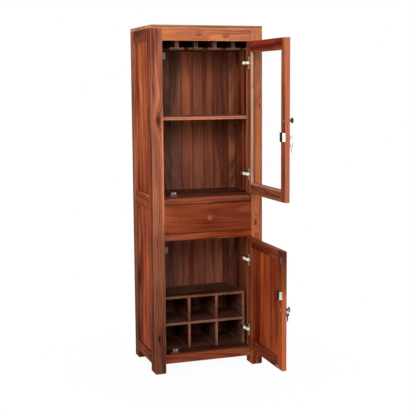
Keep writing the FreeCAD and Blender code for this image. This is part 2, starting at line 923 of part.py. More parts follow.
def drawer_front():
    """Plain drawer front, flush with the frame."""
    front = eased(box(-drawer_half, drawer_half, front_face, drawer_front_rear,
                      drawer_z0, drawer_z1))
    for x0, x1 in ((drawer_inner_half, drawer_box_half),
                   (-drawer_box_half, -drawer_inner_half)):
        front = front.cut(box(x0 - joint_fit, x1 + joint_fit,
                              drawer_front_rear - drawer_lap - joint_fit, drawer_front_rear,
                              drawer_box_z0 - joint_fit, drawer_box_z1 + joint_fit))
    reach = drawer_inner_half + drawer_groove + joint_fit
    front = front.cut(box(-reach, reach,
                          drawer_front_rear - drawer_groove - joint_fit, drawer_front_rear,
                          drawer_bottom_z - joint_fit,
                          drawer_bottom_z + drawer_bottom_thickness + joint_fit))
    start = V(0, drawer_front_rear, drawer_knob_z)
    return front.cut(screw_hole(start, V(0, -1, 0), drawer_front_thickness, knob_screw_radius))


def drawer_runner():
    """Right-hand runner: a tread under the drawer side and a guide beside it."""
    tread = box(drawer_box_half - runner_tread, side_plank_inner,
                front_post_rear + board_fit, back_post_front - board_fit,
                dust_board_top, dust_board_top + runner_thickness)
    guide = box(drawer_box_half + 2 * runner_clearance, side_plank_inner,
                front_post_rear + board_fit, back_post_front - board_fit,
                dust_board_top + runner_thickness,
                dust_board_top + runner_thickness + guide_height)
    return tread.fuse(guide).removeSplitter()


def drawer_kicker():
    """Right-hand batten that keeps an open drawer from tipping."""
    high = upper_rail_top - board_thickness
    x1 = side_plank_inner - cleat_width
    return box(x1 - kicker_width, x1, front_post_rear + board_fit, back_post_front - board_fit,
               drawer_z1, high)


def drawer_guides():
    """Runners below and kickers above the drawer."""
    runner = drawer_runner()
    kicker = drawer_kicker()
    return [runner, mirrored(runner), kicker, mirrored(kicker)]


# Turned knobs
drawer_knob_z = (drawer_z0 + drawer_z1) / 2


def knob(x, y, z):
    """Knob turned on a level axis, its foot on a face at y, pointing forward."""
    neck = knob_neck_radius
    foot = neck + knob_foot_flare
    foot_y = -knob_foot_length
    waist_y = -knob_neck_length / 2
    flare_y = -knob_neck_length
    dome_y = -knob_length + knob_dome
    rim_y = dome_y + knob_rim
    dome_radius = (knob_radius ** 2 + knob_dome ** 2) / (2 * knob_dome)
    half_angle = math.asin(knob_radius / dome_radius) / 2
    dome_middle = V(dome_radius * math.sin(half_angle),
                    dome_radius * (1 - math.cos(half_angle)) - knob_length, 0)
    corners = [V(0, 0, 0), V(foot, 0, 0), V(foot, foot_y, 0), V(neck, waist_y, 0),
               V(neck, flare_y, 0), V(knob_radius, rim_y, 0), V(knob_radius, dome_y, 0),
               V(0, -knob_length, 0)]
    hollow_middle = V((foot + neck) / 2 - knob_foot_flare / 5, (foot_y + waist_y) / 2, 0)
    edges = []
    for i, start in enumerate(corners):
        end = corners[(i + 1) % len(corners)]
        if i == 2:
            edges.append(Part.Arc(start, hollow_middle, end).toShape())
        elif i == 6:
            edges.append(Part.Arc(start, dome_middle, end).toShape())
        else:
            edges.append(Part.LineSegment(start, end).toShape())
    body = Part.Face(Part.Wire(edges)).revolve(V(0, 0, 0), V(0, 1, 0), 360)
    body.translate(V(x, y, z))
    hole = rod(knob_screw_radius + screw_fit, knob_screw_depth + screw_fit,
               V(x, y, z), V(0, -1, 0))
    return body.cut(hole)


def knob_screw(x, y_rear, y_front, z):
    """Screw from the rear face of a panel into its knob."""
    return screw(V(x, y_rear, z), V(0, -1, 0), y_rear - y_front + knob_screw_depth,
                 head=2 * knob_screw_radius, shank=knob_screw_radius)


# Locks, keys and rings, drawn with the door shut

def lock_body(z):
    """Rim lock case with its barrel through the stile and a round rosette."""
    x0 = lock_free_side
    case = box(x0, x0 + lock_width, door_rear, door_rear + lock_thickness,
               z - lock_height / 2, z + lock_height / 2)
    level = [e for e in case.Edges if abs(e.Vertexes[0].Y - e.Vertexes[1].Y) > 1]
    case = case.makeFillet(lock_corner, level)
    barrel = rod(lock_barrel_radius, door_thickness, V(lock_x, front_face, z), V(0, 1, 0))
    rosette = rod(lock_rosette_radius, lock_rosette_thickness,
                  V(lock_x, front_face - lock_rosette_thickness, z), V(0, 1, 0))
    body = case.fuse(barrel).fuse(rosette).removeSplitter()
    bore_start = V(lock_x, front_face - lock_rosette_thickness, z)
    body = body.cut(rod(lock_plug_radius + lock_plug_fit,
                        lock_rosette_thickness + door_thickness + lock_plug_seat,
                        bore_start, V(0, 1, 0)))
    channel = box(x0, x0 + bolt_length + 2 * bolt_fit, bolt_y0 - bolt_fit, bolt_y1 + bolt_fit,
                  z - bolt_half_height - bolt_fit, z + bolt_half_height + bolt_fit)
    return body.cut(channel)


def lock_bore(z):
    """Hole in the stile for the barrel of a lock."""
    return rod(lock_barrel_radius + joint_fit, door_thickness, V(lock_x, front_face, z), V(0, 1, 0))


def lock_bolt(z):
    """Bolt, drawn back level with the side of the case."""
    bolt = box(lock_free_side + bolt_fit, lock_free_side + bolt_fit + bolt_length,
               bolt_y0, bolt_y1, z - bolt_half_height, z + bolt_half_height)
    nose = [e for e in bolt.Edges
            if e.BoundBox.XMax < lock_free_side + bolt_fit + 0.1 and e.Length > bolt_thickness + 1]
    return bolt.makeChamfer(1.2, nose)


def lock_plug(z):
    """Turning plug with an open keyway."""
    start = V(lock_x, front_face - lock_rosette_thickness, z)
    length = lock_rosette_thickness + door_thickness + lock_plug_seat - joint_fit
    plug = rod(lock_plug_radius, length, start, V(0, 1, 0))
    half_width_slot = key_thickness / 2 + key_slot_fit
    half_height_slot = key_blade_width / 2 + key_slot_fit
    keyway = box(lock_x - half_width_slot, lock_x + half_width_slot,
                 front_face - lock_rosette_thickness,
                 front_face - lock_rosette_thickness + key_blade_length - key_stem_gap + key_slot_fit,
                 z - half_height_slot, z + half_height_slot)
    return plug.cut(keyway)


def key_shape():
    """Flat key in the y-z plane: blade along +y from the origin, bow behind it."""
    half = key_thickness / 2
    blade = box(-half, half, 0, key_blade_length, -key_blade_width / 2, key_blade_width / 2)
    notch_step = key_blade_length / 7
    for i in range(2, 6):
        depth_z = 0.8 + 0.5 * ((i * 7) % 3)
        y = notch_step * (i + 0.6)
        blade = blade.cut(box(-half, half, y, y + notch_step * 0.5,
                              key_blade_width / 2 - depth_z, key_blade_width / 2))
    bow_centre = V(-half, -key_bow_radius * 0.8, 0)
    bow = rod(key_bow_radius, key_thickness, bow_centre, V(1, 0, 0))
    hole = rod(key_hole_radius, key_thickness,
               bow_centre + V(0, -key_hole_offset, 0), V(1, 0, 0))
    return blade.fuse(bow).removeSplitter().cut(hole)


key_hole_y = -key_bow_radius * 0.8 - key_hole_offset


def key_in_lock(z):
    """Key pushed into the plug, its bow standing upright."""
    key = key_shape()
    key.translate(V(lock_x, front_face - lock_rosette_thickness - key_stem_gap, z))
    return key


def hanging_key(x, y, z_wire):
    """Key hanging point down with the ring's lowest wire through its bow."""
    key = key_shape()
    key.rotate(V(0, 0, 0), V(1, 0, 0), -90)
    key.translate(V(x, y, z_wire - key_ring_hang + key_hole_y))
    return key


def key_ring(x, y, z, radius):
    """Wire ring that stands in the plane of the shut door."""
    return Part.makeTorus(radius, key_ring_wire, V(x, y, z), V(0, 1, 0))


upper_ring_y = front_face - lock_rosette_thickness - key_stem_gap + key_hole_y
upper_ring_z = upper_lock_height - key_ring_hang - upper_ring_radius
knob_x = -door_half + knob_edge_distance
lower_ring_y = front_face - lower_ring_standoff
lower_ring_z = (lower_knob_height + knob_neck_radius + ring_on_neck_gap + key_ring_wire
                - lower_ring_radius)


# Magnetic catches and strikes
catch_front = door_rear + strike_thickness + catch_gap


def floor_catch(x, z):
    """Catch on a floor board, with two pole plates facing the door."""
    y0 = catch_front + catch_pole_length
    base = box(x - catch_length / 2, x + catch_length / 2, y0, y0 + catch_depth,
               z, z + catch_base)
    case = box(x - catch_body_length / 2, x + catch_body_length / 2, y0, y0 + catch_depth,
               z, z + catch_height)
    body = base.fuse(case)
    for side in (-1, 1):
        pole_x = x + side * catch_pole_spread
        body = body.fuse(box(pole_x - catch_pole_thickness / 2, pole_x + catch_pole_thickness / 2,
                             catch_front, y0, z + catch_pole_rise - catch_pole_height / 2,
                             z + catch_pole_rise + catch_pole_height / 2))
    return body.removeSplitter()


def wall_catch(z):
    """The same catch, turned to stand on the inner side of the left post."""
    catch = floor_catch(0, 0)
    catch.rotate(V(0, 0, 0), V(0, 1, 0), 90)
    catch.translate(V(-post_inner, 0, z))
    return catch


def strike(x, z, upright):
    """Flat steel strike on the rear face of a shut door."""
    half_x, half_z = strike_length / 2, strike_width / 2
    if upright:
        half_x, half_z = half_z, half_x
    plate = box(x - half_x, x + half_x, door_rear, door_rear + strike_thickness,
                z - half_z, z + half_z)
    corners = [e for e in plate.Edges if abs(e.Vertexes[0].Y - e.Vertexes[1].Y) > 0.5]
    return plate.makeFillet(2.0, corners)


wall_strike_x = -post_inner + catch_pole_rise
upper_floor_strike_z = max(upper_rail_top + catch_pole_rise,
                           upper_door_bottom + strike_width / 2 + 0.5)
lower_floor_strike_z = max(bottom_rail_top + catch_pole_rise,
                           lower_door_bottom + strike_width / 2 + 0.5)


# Glazed door

def upper_stile(x_out, side):
    """Stile with its outer edge at x_out, rebated on the glass side."""
    inner = x_out - side * upper_stile_width
    body = box(min(x_out, inner), max(x_out, inner), front_face, door_rear,
               upper_door_bottom, upper_door_top)
    body = eased(body, door_edge_ease)
    step = inner + side * glass_rebate
    body = body.cut(box(min(inner, step), max(inner, step), front_face + glass_lip, door_rear,
                        upper_door_bottom, upper_door_top))
    for z0, z1 in upper_tenon_spans:
        body = body.cut(box(-upper_tenon_reach - joint_fit, upper_tenon_reach + joint_fit,
                            upper_tenon_y - joint_fit,
                            upper_tenon_y + upper_tenon_thickness + joint_fit,
                            z0 - joint_fit, z1 + joint_fit))
    return body


upper_opening_half = door_half - upper_stile_width
upper_tenon_reach = upper_opening_half + glass_rebate + upper_tenon_length
upper_tenon_y = front_face + glass_lip + 3.0
upper_glass_z0 = upper_door_bottom + upper_rail_width
upper_glass_z1 = upper_door_top - upper_rail_width
upper_tenon_spans = (
    (upper_door_bottom + tenon_shoulder, upper_glass_z0 - glass_rebate - tenon_shoulder / 2),
    (upper_glass_z1 + glass_rebate + tenon_shoulder / 2, upper_door_top - tenon_shoulder),
)


def upper_door_rail(top):
    """Rail of the glazed door: lip in front, rebate behind, tenons at the ends."""
    z0, z1 = (upper_glass_z1, upper_door_top) if top else (upper_door_bottom, upper_glass_z0)
    body = box(-upper_opening_half, upper_opening_half, front_face, door_rear, z0, z1)
    cut_z0, cut_z1 = (z0, z0 + glass_rebate) if top else (z1 - glass_rebate, z1)
    reach = upper_opening_half + glass_rebate
    rear_z0, rear_z1 = (cut_z1, z1) if top else (z0, cut_z0)
    rear = box(-reach, reach, front_face + glass_lip, door_rear, rear_z0, rear_z1)
    tenon_z = upper_tenon_spans[1 if top else 0]
    tenon = box(-upper_tenon_reach, upper_tenon_reach,
                upper_tenon_y, upper_tenon_y + upper_tenon_thickness, *tenon_z)
    rebate = box(-upper_opening_half, upper_opening_half, front_face + glass_lip, door_rear,
                 cut_z0, cut_z1)
    return body.cut(rebate).fuse(rear).fuse(tenon).removeSplitter()


def upper_door_frame():
    """Two stiles and two rails, with the bores for hinges, lock and knob."""
    hinge_stile = upper_stile(door_half, 1)
    for z in upper_hinge_heights:
        hinge_stile = hinge_stile.cut(cup_bore(z))
    free_stile = upper_stile(-door_half, -1).cut(lock_bore(upper_lock_height))
    start = V(knob_x, door_rear, upper_knob_height)
    free_stile = free_stile.cut(screw_hole(start, V(0, -1, 0), door_thickness, knob_screw_radius))
    return [hinge_stile, free_stile, upper_door_rail(True), upper_door_rail(False)]


def upper_door_glass():
    """Clear pane in the rebate."""
    edge = glass_rebate - glass_edge_gap
    y0 = front_face + glass_lip
    return box(-upper_opening_half - edge, upper_opening_half + edge, y0, y0 + glass_thickness,
               upper_glass_z0 - edge, upper_glass_z1 + edge)


def upper_door_beads():
    """Four beads that hold the pane from behind."""
    y0 = front_face + glass_lip + glass_thickness
    outer_x = upper_opening_half + glass_rebate
    z0 = upper_glass_z0 - glass_rebate
    z1 = upper_glass_z1 + glass_rebate
    upright = box(upper_opening_half, outer_x, y0, door_rear, z0, z1)
    level_low = box(-upper_opening_half, upper_opening_half, y0, door_rear, z0, upper_glass_z0)
    level_high = box(-upper_opening_half, upper_opening_half, y0, door_rear, upper_glass_z1, z1)
    return [upright, mirrored(upright), level_low, level_high]


# Panelled door
lower_opening_half = door_half - lower_stile_width
lower_panel_z0 = lower_door_bottom + lower_bottom_rail_width
lower_panel_z1 = lower_door_top - lower_top_rail_width
panel_middle = (front_face + door_rear) / 2
lower_rail_spans = ((lower_door_bottom, lower_panel_z0), (lower_panel_z1, lower_door_top))


def lower_door_groove():
    """Groove round the panel, in stiles and rails."""
    half = tongue_thickness / 2 + joint_fit
    reach = lower_opening_half + tongue_length
    return box(-reach, reach, panel_middle - half, panel_middle + half,
               lower_panel_z0 - tongue_length, lower_panel_z1 + tongue_length)


def lower_tenon(z0, z1, spare):
    """Tenon of a door rail, or with spare its mortise."""
    low_step = tenon_shoulder if z0 == lower_door_bottom else tongue_length + 2.0
    high_step = tenon_shoulder if z1 == lower_door_top else tongue_length + 2.0
    reach = lower_opening_half + tenon_length + spare
    half = upper_tenon_thickness / 2 + spare
    return box(-reach, reach, panel_middle - half, panel_middle + half,
               z0 + low_step - spare, z1 - high_step + spare)


def lower_stile(x_out, side):
    """Stile of the panelled door, mortised and grooved."""
    inner = x_out - side * lower_stile_width
    body = eased(box(min(x_out, inner), max(x_out, inner), front_face, door_rear,
                     lower_door_bottom, lower_door_top), door_edge_ease)
    for span in lower_rail_spans:
        body = body.cut(lower_tenon(*span, joint_fit))
    return body.cut(lower_door_groove())


def lower_door_frame():
    """Two stiles and two rails, with the bores for hinges, lock and knob."""
    hinge_stile = lower_stile(door_half, 1)
    for z in lower_hinge_heights:
        hinge_stile = hinge_stile.cut(cup_bore(z))
    free_stile = lower_stile(-door_half, -1).cut(lock_bore(lower_lock_height))
    start = V(knob_x, door_rear, lower_knob_height)
    free_stile = free_stile.cut(screw_hole(start, V(0, -1, 0), door_thickness, knob_screw_radius))
    pieces = [hinge_stile, free_stile]
    for span in lower_rail_spans:
        rail = box(-lower_opening_half, lower_opening_half, front_face, door_rear, *span)
        rail = rail.fuse(lower_tenon(*span, 0)).removeSplitter()
        pieces.append(rail.cut(lower_door_groove()))
    return pieces


def lower_door_planks():
    """Upright planks of the panel, bevelled on the face that shows when shut."""
    row = planks(-lower_opening_half, lower_opening_half, door_plank_shares,
                 door_panel_thickness, lower_panel_z0, lower_panel_z1,
                 tongue_length - joint_fit)
    return placed(row, (0, panel_middle - door_panel_thickness / 2), (1, 0), (0, 1))


def door_screws(hinges, knob_z):
    """Screws of the hinge cups and of the knob on one door."""
    screws = [screw(*cup_screw_place(z, side)) for z in hinges for side in (-1, 1)]
    return screws + [knob_screw(knob_x, door_rear, front_face, knob_z)]


def write_carcass():
    """Every piece that stays still."""
    save("top_board", eased(box(-half_width, half_width, front_face, back_face,
                                post_top, height), 1.5))
    save("front_post_left", front_post_left())
    save("front_post_right", front_post_right())
    rear_post = jointed_post(back_post_front, back_face)
    save("back_post_left", mirrored(rear_post))
    save("back_post_right", rear_post)
    for name, span in front_rail_spans.items():
        save(name, front_rail(*span))
    save("side_rails", *side_rails())
    save("back_rails", *back_rails())
    right = [p for bay in side_bays for p in side_planks(*bay)]
    save("right_side_planks", *right)
    save("left_side_planks", *[mirrored(p) for p in right])
    save("back_planks", *[p for bay in back_bays for p in back_planks(*bay)])
    save("ceiling_board", level_board(ceiling_height + ceiling_thickness, ceiling_thickness))
    save("upper_floor_board", level_board(upper_rail_top, board_thickness))
    save("drawer_dust_board", level_board(dust_board_top, board_thickness))
    save("bottom_board", level_board(bottom_rail_top, board_thickness))
    save("board_cleats", *board_cleats())
    save("upper_shelf", upper_shelf())
    save("glass_rails", *glass_battens(), *glass_slats())
    save("bottle_rack_boards", rack_top(), rack_shelf())
    save("bottle_rack_uprights", *rack_uprights())
    save("drawer_guides", *drawer_guides())
    save("hinge_arms", *[hinge_arm(z) for z in hinge_heights])
    save("hinge_plates", *[hinge_plate(z) for z in hinge_heights])
    save("hinge_plate_screws", *[screw(*plate_screw_place(z, side))
                                 for z in hinge_heights for side in (-1, 1)])
    save("magnetic_catches",
         floor_catch(upper_floor_catch_x, upper_rail_top),
         floor_catch(lower_floor_catch_x, bottom_rail_top),
         wall_catch(upper_wall_catch_height), wall_catch(lower_wall_catch_height))
    save("lock_strike_plates", lock_strike_plate(upper_lock_height),
         lock_strike_plate(lower_lock_height))


def write_drawer():
    """The drawer, shut."""
    save("drawer_front", drawer_front())
    side = drawer_side()
    save("drawer_box", side, mirrored(side), drawer_back())
    save("drawer_bottom", drawer_bottom())
    save("drawer_knob", knob(0, front_face, drawer_knob_z))
    save("drawer_knob_screw", knob_screw(0, drawer_front_rear, front_face, drawer_knob_z))


def write_upper_door():
    """The glazed door and what moves with it, swung open."""
    angle = upper_door_open
    z = upper_lock_height

    def opened(name, *solids):
        save(name, *[swing(s, angle) for s in solids])

    opened("upper_door_frame", *upper_door_frame())
    opened("upper_door_glass", upper_door_glass())
    opened("upper_door_beads", *upper_door_beads())
    opened("upper_door_knob", knob(knob_x, front_face, upper_knob_height))
    opened("upper_door_screws", *door_screws(upper_hinge_heights, upper_knob_height))
    opened("upper_hinge_cups", *[hinge_cup(h) for h in upper_hinge_heights])
    opened("upper_door_strikes", strike(upper_floor_catch_x, upper_floor_strike_z, False),
           strike(wall_strike_x, upper_wall_catch_height, True))
    opened("upper_lock_body", lock_body(z))
    opened("upper_lock_bolt", lock_bolt(z))
    opened("upper_lock_plug", lock_plug(z))
    opened("upper_key", key_in_lock(z))
    opened("upper_key_ring", key_ring(lock_x, upper_ring_y, upper_ring_z, upper_ring_radius))
    opened("upper_spare_key", hanging_key(lock_x, upper_ring_y, upper_ring_z - upper_ring_radius))
    opened("upper_hinge_links", *[hinge_link(h, angle) for h in upper_hinge_heights])


def write_lower_door():
    """The panelled door and what moves with it, swung open."""
    angle = lower_door_open
    z = lower_lock_height

    def opened(name, *solids):
        save(name, *[swing(s, angle) for s in solids])

    opened("lower_door_frame", *lower_door_frame())
    opened("lower_door_planks", *lower_door_planks())
    opened("lower_door_knob", knob(knob_x, front_face, lower_knob_height))
    opened("lower_door_screws", *door_screws(lower_hinge_heights, lower_knob_height))
    opened("lower_hinge_cups", *[hinge_cup(h) for h in lower_hinge_heights])
    opened("lower_door_strikes", strike(lower_floor_catch_x, lower_floor_strike_z, False),
           strike(wall_strike_x, lower_wall_catch_height, True))
    opened("lower_lock_body", lock_body(z))
    opened("lower_lock_bolt", lock_bolt(z))
    opened("lower_lock_plug", lock_plug(z))
    opened("lower_key_ring", key_ring(knob_x, lower_ring_y, lower_ring_z, lower_ring_radius))
    opened("lower_key", hanging_key(knob_x, lower_ring_y, lower_ring_z - lower_ring_radius))
    opened("lower_hinge_links", *[hinge_link(h, angle) for h in lower_hinge_heights])


os.makedirs("parts", exist_ok=True)
write_carcass()
write_drawer()
write_upper_door()
write_lower_door()
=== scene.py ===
import json
import math
import random

import bmesh
import bpy
import numpy as np
from mathutils import Matrix, Vector


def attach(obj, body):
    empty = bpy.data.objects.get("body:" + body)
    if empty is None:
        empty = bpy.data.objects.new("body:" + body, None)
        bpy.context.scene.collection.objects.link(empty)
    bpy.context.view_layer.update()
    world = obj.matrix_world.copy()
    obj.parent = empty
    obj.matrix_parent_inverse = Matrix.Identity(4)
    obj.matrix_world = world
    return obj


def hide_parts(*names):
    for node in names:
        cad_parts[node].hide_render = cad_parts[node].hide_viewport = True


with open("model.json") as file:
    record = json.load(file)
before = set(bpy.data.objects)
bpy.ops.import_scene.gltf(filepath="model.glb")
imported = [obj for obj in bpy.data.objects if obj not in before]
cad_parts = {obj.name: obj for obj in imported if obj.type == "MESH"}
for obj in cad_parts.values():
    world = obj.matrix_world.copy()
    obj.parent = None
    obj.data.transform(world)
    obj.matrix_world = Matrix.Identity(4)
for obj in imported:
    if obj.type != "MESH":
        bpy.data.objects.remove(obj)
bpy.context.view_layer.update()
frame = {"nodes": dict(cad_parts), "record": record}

# Corner posts. Four solid posts of lacquered sheesham carry the whole cabinet;
# the front pair is deeper. They are sawn from one stock, mortised for the rails,
# grooved for the planks and bevelled at the foot.
body_of_node = {node: body for body, nodes in frame["record"]["behaviour"]["bodies"].items()
                for node in nodes}
same_point = 2e-6                 # in metres, within which two vertices are one
nearly_flat = math.radians(0.4)   # between two faces that are merged


def stain(red, green, blue):
    """A finish colour as the eye reads it, from 0 to 255, turned into light values."""
    def one(value):
        value = value / 255.0
        return value / 12.92 if value <= 0.04045 else ((value + 0.055) / 1.055) ** 2.4
    return (one(red), one(green), one(blue), 1.0)


def solids_in(mesh):
    """Lists the vertices of each solid of a CAD mesh, by the order of its closed skins."""
    shaping = bmesh.new()
    shaping.from_mesh(mesh)
    doubles = bmesh.ops.find_doubles(shaping, verts=shaping.verts, dist=same_point)["targetmap"]
    same = list(range(len(shaping.verts)))
    for vertex, twin in doubles.items():
        same[vertex.index] = twin.index
    shaping.free()
    groups, group, open_edges = [], set(), set()
    for polygon in mesh.polygons:
        group.update(polygon.vertices)
        loop = [same[i] for i in polygon.vertices]
        for start, end in zip(loop, loop[1:] + loop[:1]):
            if start != end:
                open_edges ^= {(end, start) if (end, start) in open_edges else (start, end)}
        if not open_edges:
            groups.append(sorted(group))
            group = set()
    return groups + ([sorted(group)] if group else [])


def dressed_copy(node, name, smooth_angle=52.0):
    """A welded, smoothly shaded piece on the lines of a CAD node, which it replaces."""
    mesh = frame["nodes"][node].data.copy()
    mesh.name = name
    groups = solids_in(mesh)
    number = mesh.attributes.new("solid_number", "INT", "POINT")
    for i, group in enumerate(groups):
        for vertex in group:
            number.data[vertex].value = i
    shaping = bmesh.new()
    shaping.from_mesh(mesh)
    layer = shaping.verts.layers.int["solid_number"]
    for i in range(len(groups)):
        solid = [vertex for vertex in shaping.verts if vertex[layer] == i]
        bmesh.ops.remove_doubles(shaping, verts=solid, dist=same_point)
    bmesh.ops.dissolve_limit(shaping, angle_limit=nearly_flat, verts=shaping.verts,
                             edges=shaping.edges, delimit={"NORMAL"})
    shaping.to_mesh(mesh)
    shaping.free()
    mesh.materials.clear()
    mesh.shade_smooth()
    mesh.set_sharp_from_angle(angle=math.radians(smooth_angle))
    piece = bpy.data.objects.new(name, mesh)
    bpy.context.scene.collection.objects.link(piece)
    even = piece.modifiers.new("even_shading", "WEIGHTED_NORMAL")
    even.keep_sharp = True
    even.weight = 100
    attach(piece, body_of_node[node])
    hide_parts(node)
    return piece


class Finish:
    """A material in the making, with short ways to lay and join its nodes."""

    def __init__(self, name):
        self.material = bpy.data.materials.new(name)
        self.material.use_nodes = True
        self.tree = self.material.node_tree
        self.tree.nodes.clear()
        self.out = self.tree.nodes.new("ShaderNodeOutputMaterial")
        self.surface = self.tree.nodes.new("ShaderNodeBsdfPrincipled")
        self.tree.links.new(self.surface.outputs[0], self.out.inputs[0])

    def put(self, socket, value):
        """Links a socket to another, or sets it to a plain value."""
        if isinstance(value, bpy.types.NodeSocket):
            self.tree.links.new(value, socket)
        else:
            socket.default_value = value

    def sum(self, op, a, b=0.0, c=0.0, clamp=False):
        """A sum of one to three values, by the name of the node's operation."""
        node = self.tree.nodes.new("ShaderNodeMath")
        node.operation = op
        node.use_clamp = clamp
        for socket, value in zip(node.inputs, (a, b, c)):
            self.put(socket, value)
        return node.outputs[0]

    def seen(self, name, kind="Vector"):
        """A value that the mesh carries at each of its points."""
        node = self.tree.nodes.new("ShaderNodeAttribute")
        node.attribute_name = name
        return node.outputs[kind]

    def placed(self):
        """The place on the piece, in metres from its origin."""
        return self.tree.nodes.new("ShaderNodeTexCoord").outputs["Object"]

    def parts(self, vector):
        """The three parts of a vector."""
        node = self.tree.nodes.new("ShaderNodeSeparateXYZ")
        self.put(node.inputs[0], vector)
        return node.outputs[0], node.outputs[1], node.outputs[2]

    def point(self, x, y, z):
        """A vector of three values."""
        node = self.tree.nodes.new("ShaderNodeCombineXYZ")
        for socket, value in zip(node.inputs, (x, y, z)):
            self.put(socket, value)
        return node.outputs[0]

    def noise(self, vector, scale=1.0, detail=2.0, rough=0.5):
        """Soft noise from 0 to 1."""
        node = self.tree.nodes.new("ShaderNodeTexNoise")
        self.put(node.inputs["Vector"], vector)
        node.inputs["Scale"].default_value = scale
        node.inputs["Detail"].default_value = detail
        node.inputs["Roughness"].default_value = rough
        return node.outputs["Fac"]

    def figure(self, *places, **noise):
        """Noise drawn out to its own scale each way, from pairs of a length and a scale."""
        return self.noise(self.point(*(self.sum("MULTIPLY", *place) if isinstance(place, tuple)
                                       else place for place in places)), **noise)

    def step(self, value, low, high, to_low=0.0, to_high=1.0):
        """A soft change from one value to another between two limits."""
        node = self.tree.nodes.new("ShaderNodeMapRange")
        node.interpolation_type = "SMOOTHSTEP"
        for key, given in (("Value", value), ("From Min", low), ("From Max", high),
                           ("To Min", to_low), ("To Max", to_high)):
            self.put(node.inputs[key], given)
        return node.outputs[0]

    def blend(self, amount, a, b, how="MIX"):
        """One colour going over into another."""
        node = self.tree.nodes.new("ShaderNodeMix")
        node.data_type = "RGBA"
        node.blend_type = how
        for socket, value in zip((node.inputs[0], node.inputs[6], node.inputs[7]), (amount, a, b)):
            self.put(socket, value)
        return node.outputs[2]

    def tinted(self, colour, tint):
        """A colour multiplied by another."""
        return self.blend(1.0, colour, tint, "MULTIPLY")

    def bump(self, height, strength, depth):
        """Small relief on the surface."""
        node = self.tree.nodes.new("ShaderNodeBump")
        node.inputs["Strength"].default_value = strength
        node.inputs["Distance"].default_value = depth
        self.put(node.inputs["Height"], height)
        self.put(self.surface.inputs["Normal"], node.outputs[0])


